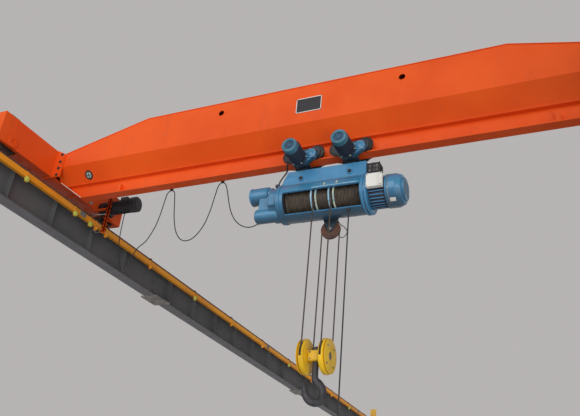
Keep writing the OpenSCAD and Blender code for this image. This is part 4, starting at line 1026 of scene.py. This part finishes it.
def toothWheels():
    # tread, and a rim with teeth: the rim's radius falls by the teeth's depth between them
    teeth, depth = 38, 0.007
    gaps = np.tile([0.0, 0.0, 0.5, 1.0, 1.0, 0.5], teeth)
    w = 2 * np.pi * np.arange(len(gaps)) / len(gaps)
    profile = [(0.02005, 0.0282), (0.034, 0.0282), (0.036, 0.032), (0.060, 0.032), (0.062, 0.0284), (0.075, 0.0284),
               (0.077, 0.0305), (0.077, 0.0665), (0.085, 0.0675), (0.095, 0.0705), (0.095, 0.0810), (0.080, 0.0810),
               (0.076, 0.0775), (0.040, 0.0775), (0.036, 0.0810), (0.02005, 0.0810)]
    r, h = np.array(profile).T[:, :, None]
    r = r - depth * gaps * (r > 0.09)  # the two outer rows carry the teeth
    wheels = [x + s * bogie["halfBase"] for x in bogie["middles"] for s in (-1, 1)]
    for k, x in enumerate(wheels):
        n = str(k + 1)
        for side, name in sides:
            grid = roundAxis(r, w, side * h, (x, girderY, bogie["axleZ"]), "y")
            gridPiece("trolleyWheel" + name + n, grid, "wheels_" + n, "wheel_iron", aroundRows=True,
                      stands=("trolley_wheels_" + n,) if side < 0 else ())


bridgeWheel = {"y": 1.0, "z": 0.7131}  # y from the girder's middle


def forgeBridgeWheels():
    # hub, web and a tread between two flanges
    half = [(0.03005, -0.068), (0.053, -0.068), (0.055, -0.066), (0.055, -0.040), (0.112, -0.034), (0.118, -0.053),
            (0.147, -0.053), (0.150, -0.050), (0.149, -0.043), (0.142, -0.037), (0.135, -0.035)]
    for side, name in sides:
        for k, x in enumerate((0.0, span)):
            at = (x, girderY + side * bridgeWheel["y"], bridgeWheel["z"])
            ringPiece("bridgeWheel" + name + str(k + 1), mirrored(half), at, "x", "wheels_" + name.lower(),
                      "wheel_iron", 80, ("bridge_wheels_" + name.lower(),) if k == 0 else ())


mountTravelDrives()
toothWheels()
forgeBridgeWheels()
print("travel drives and wheels made")

# the web folds inwards at foldZ, down to the foot's place (from the middle, height)
girder = {"halfBox": 0.25, "foldZ": 0.783, "foot": (0.064, 0.600), "carriageZ": 0.638, "liftingZ": 1.158}


def boltGirder():
    # through each joint plate four bolts in a column, and three in a row along its top
    z = girder["carriageZ"]
    for side, name in sides:
        y = girderY + side * (girder["halfBox"] + 0.024)
        for end, s, where in ends:
            column = [(end + s * 0.213, y, z + rise) for rise in (0.018, 0.122, 0.222, 0.336)]
            boltHeads("jointBolts" + name + where, column, (0, side, 0), 0.017, *blackOnBridge)
            row = [(end + s * along, y, z + 0.390) for along in (-0.085, 0.0, 0.085)]
            boltHeads("jointTopBolts" + name + where, row, (0, side, 0), 0.012, *blackOnBridge)


def capInspectionHoles():
    # a dark collar round each low hole with a pale cap behind it, square to the slanting plate;
    # plain collars round the lifting holes
    y0, z0 = girder["foot"]
    slope = (girder["foldZ"] - z0) / (girder["halfBox"] - y0)
    lean, z = math.atan(slope), 0.668
    collar = [(0.040, 0.001), (0.041, 0.007), (0.058, 0.008), (0.061, 0.001), (0.061, -0.002), (0.040, -0.002)]
    cap = [(0.041, -0.002), (0.041, 0.002), (0.024, 0.0035), (0.010, 0.004)]
    lip = [(0.0372, 0.244), (0.0372, 0.2535), (0.047, 0.2535), (0.047, 0.2495), (0.0378, 0.2495), (0.0378, 0.244)]
    w = 2 * np.pi * np.arange(40)[:, None] / 40
    for side, name in sides:
        normal = np.array([0, side * math.sin(lean), -math.cos(lean)])
        ring = np.cos(w) * [1.0, 0, 0] + np.sin(w) * np.cross(normal, [1.0, 0, 0])
        for k, x in enumerate((0.64, span - 0.64)):
            n = name + str(k + 1)
            at = np.array([x, girderY + side * (y0 + (z - z0) / slope), z])
            collarGrid, capGrid = (np.stack([at + r * ring + h * normal for r, h in rows]) for rows in (collar, cap))
            gridPiece("holeCollar" + n, collarGrid, *blackOnBridge, aroundRows=True)
            gridPiece("holeCap" + n, capGrid, "bridge", "guide_steel")
            manyBoxes("holeCross" + n, [at + 0.0045 * normal] * 2, [(0.034, 0.004, 0.004), (0.004, 0.034, 0.004)],
                      *blackOnBridge, math.degrees(side * lean), 0)
        for k, x in enumerate((2.625, span - 2.625)):
            ringPiece("liftingHole" + name + str(k + 1), [(r, side * h) for r, h in lip],
                      (x, girderY, girder["liftingZ"]), "y", *orange, 40)


def framePlate():
    # the bare rating plate: a raised pale border and a rivet at each corner
    x0, x1, z0, z1 = 3.635, 3.945, 0.928, 1.128
    x, y, z = (x0 + x1) / 2, girderY - 0.2535, (z0 + z1) / 2
    border = [(x, y, z0 + 0.004), (x, y, z1 - 0.004), (x0 + 0.004, y, z), (x1 - 0.004, y, z)]
    halves = [((x1 - x0) / 2, 0.0015, 0.004)] * 2 + [(0.004, 0.0015, (z1 - z0) / 2)] * 2
    manyBoxes("ratingPlateFrame", border, halves, "bridge", "box_white")
    rivets = [(u, y - 0.001, v) for u in (x0 + 0.012, x1 - 0.012) for v in (z0 + 0.012, z1 - 0.012)]
    boltHeads("ratingPlateRivets", rivets, (0, -1, 0), 0.004, "bridge")


def weldSeams():
    # painted highlights: pale strips down the slanting ends' edges where the plates catch light; low beads along the
    # track's joint and the carriages' joints
    edge = np.array([(0.155, 0.1026, 0.636), (0.209, 0.0655, 0.5985), (0.530, 0.0655, 0.3805)])
    x = np.linspace(0.55, span - 0.55, 260)
    z = np.linspace(girder["carriageZ"] + 0.012, girder["carriageZ"] + 0.380, 40)
    for side, name in sides:
        track = np.stack([x, np.full_like(x, girderY + side * 0.0655), 0.5985 + 0.0006 * np.sin(x * 60)], -1)
        gridPiece("weldTrack" + name, tubeGrid(track, 0.0045, 6, (0, 0, 1)), *orange)
        for end, s, where in ends:
            edgeHighlight = edge * [s, side, 1] + [end, girderY, 0]
            gridPiece("slantEdgeHighlight" + name + where, tubeGrid(edgeHighlight, 0.0045, 8, (0, 1, 0.3)), "bridge", "box_white")
            joint = np.stack([np.full_like(z, end + s * 0.127), np.full_like(z, girderY + side * 0.277), z], -1)
            gridPiece("weldCarriage" + name + where, tubeGrid(joint, 0.004, 6, (0, 1, 0)), *orange)


carriage = {"face": 0.127, "z": 0.843}


def trimCarriages():
    # bearing caps with bolts on both faces, a rib and a striker inside, the buffers' bolts and hoops
    cap = [(0.0305, 0.0), (0.074, 0.0), (0.078, 0.003), (0.078, 0.010), (0.074, 0.013), (0.044, 0.013),
           (0.040, 0.016), (0.0305, 0.016)]
    hoop = [(0.050, 1.262), (0.0525, 1.262), (0.0525, 1.270), (0.050, 1.270)]
    z = carriage["z"]
    for end, s, where in ends:
        for side, name in sides:
            axle = (0, girderY + side * bridgeWheel["y"], bridgeWheel["z"])
            for out, label in ((s, "In"), (-s, "Out")):
                label, face = where + name + label, end + out * carriage["face"]
                ringPiece("bearingCap" + label, [(r, face + out * h) for r, h in cap], axle, "x", *orange, 48)
                heads = places(axle, 0.060, "x", 6, math.pi / 6, face + out * 0.013)
                boltHeads("bearingBolts" + label, heads, (out, 0, 0), 0.009, *orange)
            manyBoxes("carriageRib" + where + name, [(end + s * 0.1285, girderY + side * 1.025, z)],
                      (0.0025, 0.006, 0.200), *orange)
            manyBoxes("striker" + where + name, [(end + s * 0.112, girderY + side * 1.072, 1.0455)],
                      (0.013, 0.075, 0.0022), "bridge", "guide_steel")
            plate = [(end + a, girderY + side * 1.239, z + b) for b in (-0.035, 0.035) for a in (-0.05, 0.05)]
            boltHeads("bufferBolts" + where + name, plate, (0, side, 0), 0.007, *ironOnBridge)
            ringPiece("bufferHoop" + where + name, [(r, side * h) for r, h in hoop], (end, girderY, z), "y",
                      *ironOnBridge, 40)


def clipRails():
    # clips with a bolt on both sides of each rail's foot, splice plates where two beams meet
    clips = [(y, s) for y in np.arange(-5.6, 11.7, 0.75) for s in (-1, 1)]
    joints = (0.0, 6.0)
    for x, name in ((0.0, "Left"), (span, "Right")):
        manyBoxes("railClips" + name, [(x + s * 0.066, y, 0.4775) for y, s in clips], (0.018, 0.026, 0.0072),
                  "runway", "rail_steel", [s * 6 for _, s in clips], 1)
        boltHeads("railClipBolts" + name, [(x + s * 0.070, y, 0.485) for y, s in clips], (0, 0, 1), 0.010,
                  "runway", "rail_steel")
        for s, face in ((-1, "Out"), (1, "In")):
            manyBoxes("splicePlates" + name + face, [(x + s * 0.010, y, 0.245) for y in joints],
                      (0.005, 0.150, 0.140), "runway", "runway_paint")
            bolts = [(x + s * 0.015, y + a, 0.245 + b) for y in joints
                     for a in (-0.115, -0.050, 0.050, 0.115) for b in (-0.1, 0.0, 0.1)]
            boltHeads("spliceBolts" + name + face, bolts, (s, 0, 0), 0.012, "runway", "runway_paint")


conductor = {"x": 0.2, "half": 0.028, "low": 0.348, "split": 0.424, "high": 0.449, "run": (-5.9, 11.9),
             "strapFoot": 0.282, "sleeves": (-2.2475, 3.75, 9.75), "clamps": (-2.405, -2.090)}


def dressConductor():
    # an orange housing hung under a dark carrier, hangers, a clamp on both sides of one joint;
    # the clamps and every third hanger have yellow-green lobed knobs: r = (middle + lobe cos 6w) size
    x, side, low, split, high = (conductor[k] for k in ("x", "half", "low", "split", "high"))
    half = [(0.006, low + 0.028), (0.006, low), (side - 0.002, low), (side, low + 0.002), (side, low + 0.024),
            (side - 0.002, low + 0.026), (side - 0.002, low + 0.046), (side, low + 0.048), (side, split - 0.004),
            (side - 0.004, split)]
    outline = [(x + a, b) for a, b in half] + [(x - a, b) for a, b in half[::-1]]
    slabPiece("barHousing", outline, *conductor["run"], "y", "runway", "conductor_orange", 0.0, ("conductor_bar",))
    boxPiece("barCarrier", (x - 0.024, x + 0.024), conductor["run"], (split, high), "runway", "sheave_rust", 0.0)
    manyBoxes("barSleeves", [(x, y, (low + split) / 2 + 0.002) for y in conductor["sleeves"]],
              (side + 0.003, 0.055, (split - low) / 2 - 0.004), "runway", "bare_steel")
    even = -4.685 + 1.36 * np.arange(13)
    hangers = np.append(even, -1.734)  # one more beside the collector
    spots = np.append(hangers, conductor["clamps"])
    for name, ys, at, z, halves in (
            ("hangerTops", hangers, x - 0.063, high + 0.0035, (0.097, 0.020, 0.0035)),
            ("hangerEars", spots, x + 0.031, (split + high) / 2 + 0.003, (0.003, 0.020, 0.0157)),
            ("hangerBacks", spots, x - 0.030, 0.432, (0.002, 0.020, 0.024))):
        manyBoxes(name, [(at, y, z) for y in ys], halves, "runway", "sheave_rust")
    foot = conductor["strapFoot"]
    straps = manyBoxes("hangerStraps", [(x + 0.031, y, (foot + split) / 2) for y in spots],
                       (0.003, 0.020, (split - foot) / 2), "runway", "conductor_orange")
    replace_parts(straps, "conductor_hangers")
    boltHeads("hangerBolts", [(x - 0.08, y, 0.456) for y in hangers], (0, 0, 1), 0.011, "runway")
    w = 2 * np.pi * np.arange(60) / 60
    rows = [(0.35, 0.034), (0.75, 0.0345), (1.0, 0.038), (1.0, 0.060), (0.80, 0.066), (0.52, 0.068), (0.50, 0.0755),
            (0.0, 0.076)]
    share, out = np.array(rows).T[:, :, None]
    for k, y in enumerate(spots):
        fixed = k % 3 == 1 if k < len(even) else k >= len(hangers)
        size, z, slotName = (1.3, 0.3165, "knob_green") if fixed else (0.8, 0.312, "conductor_orange")
        lobes = (0.026 + 0.0045 * np.cos(6 * w)) * size
        gridPiece("clampKnob" + str(k + 1), roundAxis(share * lobes, w, out, (x, y, z), "x"), "runway", slotName,
                  stands=("conductor_knobs",) if k == 0 else (), sharp=50)


tow = {"x": (0.333, 0.377), "y": (-1.948, -1.903), "z": (0.250, 0.818), "pitch": 0.058, "thick": 0.003}
collector = {"x": 0.2, "y": -1.926}


def perforateBracket():
    # an angle of two flanges made as ladders: rails along it, rungs between its slots;
    # then the root it hangs from, and the collector's rod, blade, seat and sprung arm
    (x0, x1), (y0, y1), (low, high) = tow["x"], tow["y"], tow["z"]
    thick, tall, rung = tow["thick"], (high - low) / 2, 0.0225
    rungs, z = np.arange(low + 0.012, high, tow["pitch"]), (low + high) / 2
    boxes = [((x, y0 + thick, z), (0.009, thick, tall)) for x in (x0 + 0.009, x1 - 0.009)]
    boxes += [(((x0 + x1) / 2, y0 + thick, v), (0.022, thick, rung)) for v in rungs]
    boxes += [((x1 - thick, y, z), (thick, 0.009, tall)) for y in (y0 + 0.009, y1 - 0.009)]
    boxes += [((x1 - thick, (y0 + y1) / 2, v + tow["pitch"] / 2), (thick, (y1 - y0) / 2, rung)) for v in rungs[:-1]]
    middles, halves = zip(*boxes)
    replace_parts(manyBoxes("towAngle", middles, halves, *orange), "collector_bracket")
    manyBoxes("towRoot", [(0.2185, (y0 + y1) / 2, 0.633)], (0.1585, 0.0225, 0.005), *orange)
    x, y = collector["x"], collector["y"]
    rod = [(0.0, 0.188), (0.008, 0.190), (0.008, 0.372), (0.0, 0.372)]
    turnedPiece("collectorRod", rod, (0, y, 0.264), "x", *ironOnBridge, 20)
    manyBoxes("collectorBlade", [(x, y, 0.3125)], (0.0012, 0.030, 0.0485), *ironOnBridge)
    manyBoxes("collectorSeat", [(x, y, 0.262)], (0.014, 0.030, 0.010), *blackOnBridge)
    arm = [(0.350, -1.950, 0.536), (0.300, -1.990, 0.512), (0.205, -2.045, 0.490), (0.120, -2.050, 0.486)]
    gridPiece("collectorArm", tubeGrid(smoothed(arm, 8), 0.0085, 10, (0, 0, 1)), *ironOnBridge)
    manyBoxes("armShoe", arm[-1:], (0.022, 0.016, 0.010), *ironOnBridge, 10, 2)


def dressBlock():
    # outer guards beside both covers with spacers and bolts between, bolts in the crosshead's faces
    for k, s in enumerate((-1, 1)):
        x = ropeX[k] + s * block["halfWidth"]
        guard = [(0.040, 0.0095), (0.163, 0.0095), (0.166, 0.0110), (0.166, 0.0125), (0.163, 0.0135), (0.040, 0.0135)]
        ringPiece("blockGuard" + str(k + 1), [(r, x + s * h) for r, h in guard], (0, girderY, blockZ), "x", *yellow)
        posts = places((x + s * 0.005, girderY, blockZ), 0.120, "x", 4, math.pi / 4)
        manyBoxes("guardSpacers" + str(k + 1), posts, (0.0055, 0.008, 0.008), *ironOnBlock)
        boltHeads("guardBolts" + str(k + 1), posts + [s * 0.0085, 0, 0], (s, 0, 0), 0.009, "hook_block")
        heads = [(blockAt[0] + a, girderY + s * block["headHalf"][0], blockZ + b) for a in (-0.045, 0.045)
                 for b in (-0.032, 0.032)]
        boltHeads("crossheadBolts" + str(k + 1), heads, (0, s, 0), 0.007, "hook_block")


drive = {"y": girderY + 0.8, "z": 0.728}


def dressDrives():
    # round hoods with slots on the carriage motors, bolts in the gearboxes' flanges
    hood = [(0.0, 0.762), (0.066, 0.762), (0.070, 0.759), (0.070, 0.752), (0.096, 0.750), (0.103, 0.742),
            (0.1035, 0.664), (0.0, 0.664)]
    for end, s, where in ends:
        at = (end, drive["y"], drive["z"])
        turnedPiece("driveHood" + where, [(r, s * h) for r, h in hood], at, "x", *blackOnBridge, 64)
        manyBoxes("driveSlots" + where, places(at, 0.084, "x", 16, 0.0, s * 0.7502), (0.0006, 0.009, 0.0035),
                  *ironOnBridge, np.arange(16) * 22.5, 0)
        boltHeads("driveFlangeBolts" + where, places(at, 0.090, "x", 6, math.pi / 6, s * 0.352), (s, 0, 0), 0.007,
                  *ironOnBridge)


boltGirder()
capInspectionHoles()
framePlate()
weldSeams()
trimCarriages()
clipRails()
dressConductor()
perforateBracket()
dressBlock()
dressDrives()
print("girder, carriages, runway and block dressed")

print("cables hung, supply cable", round(hangSupplyCable(), 2), "m")
hangPendant()
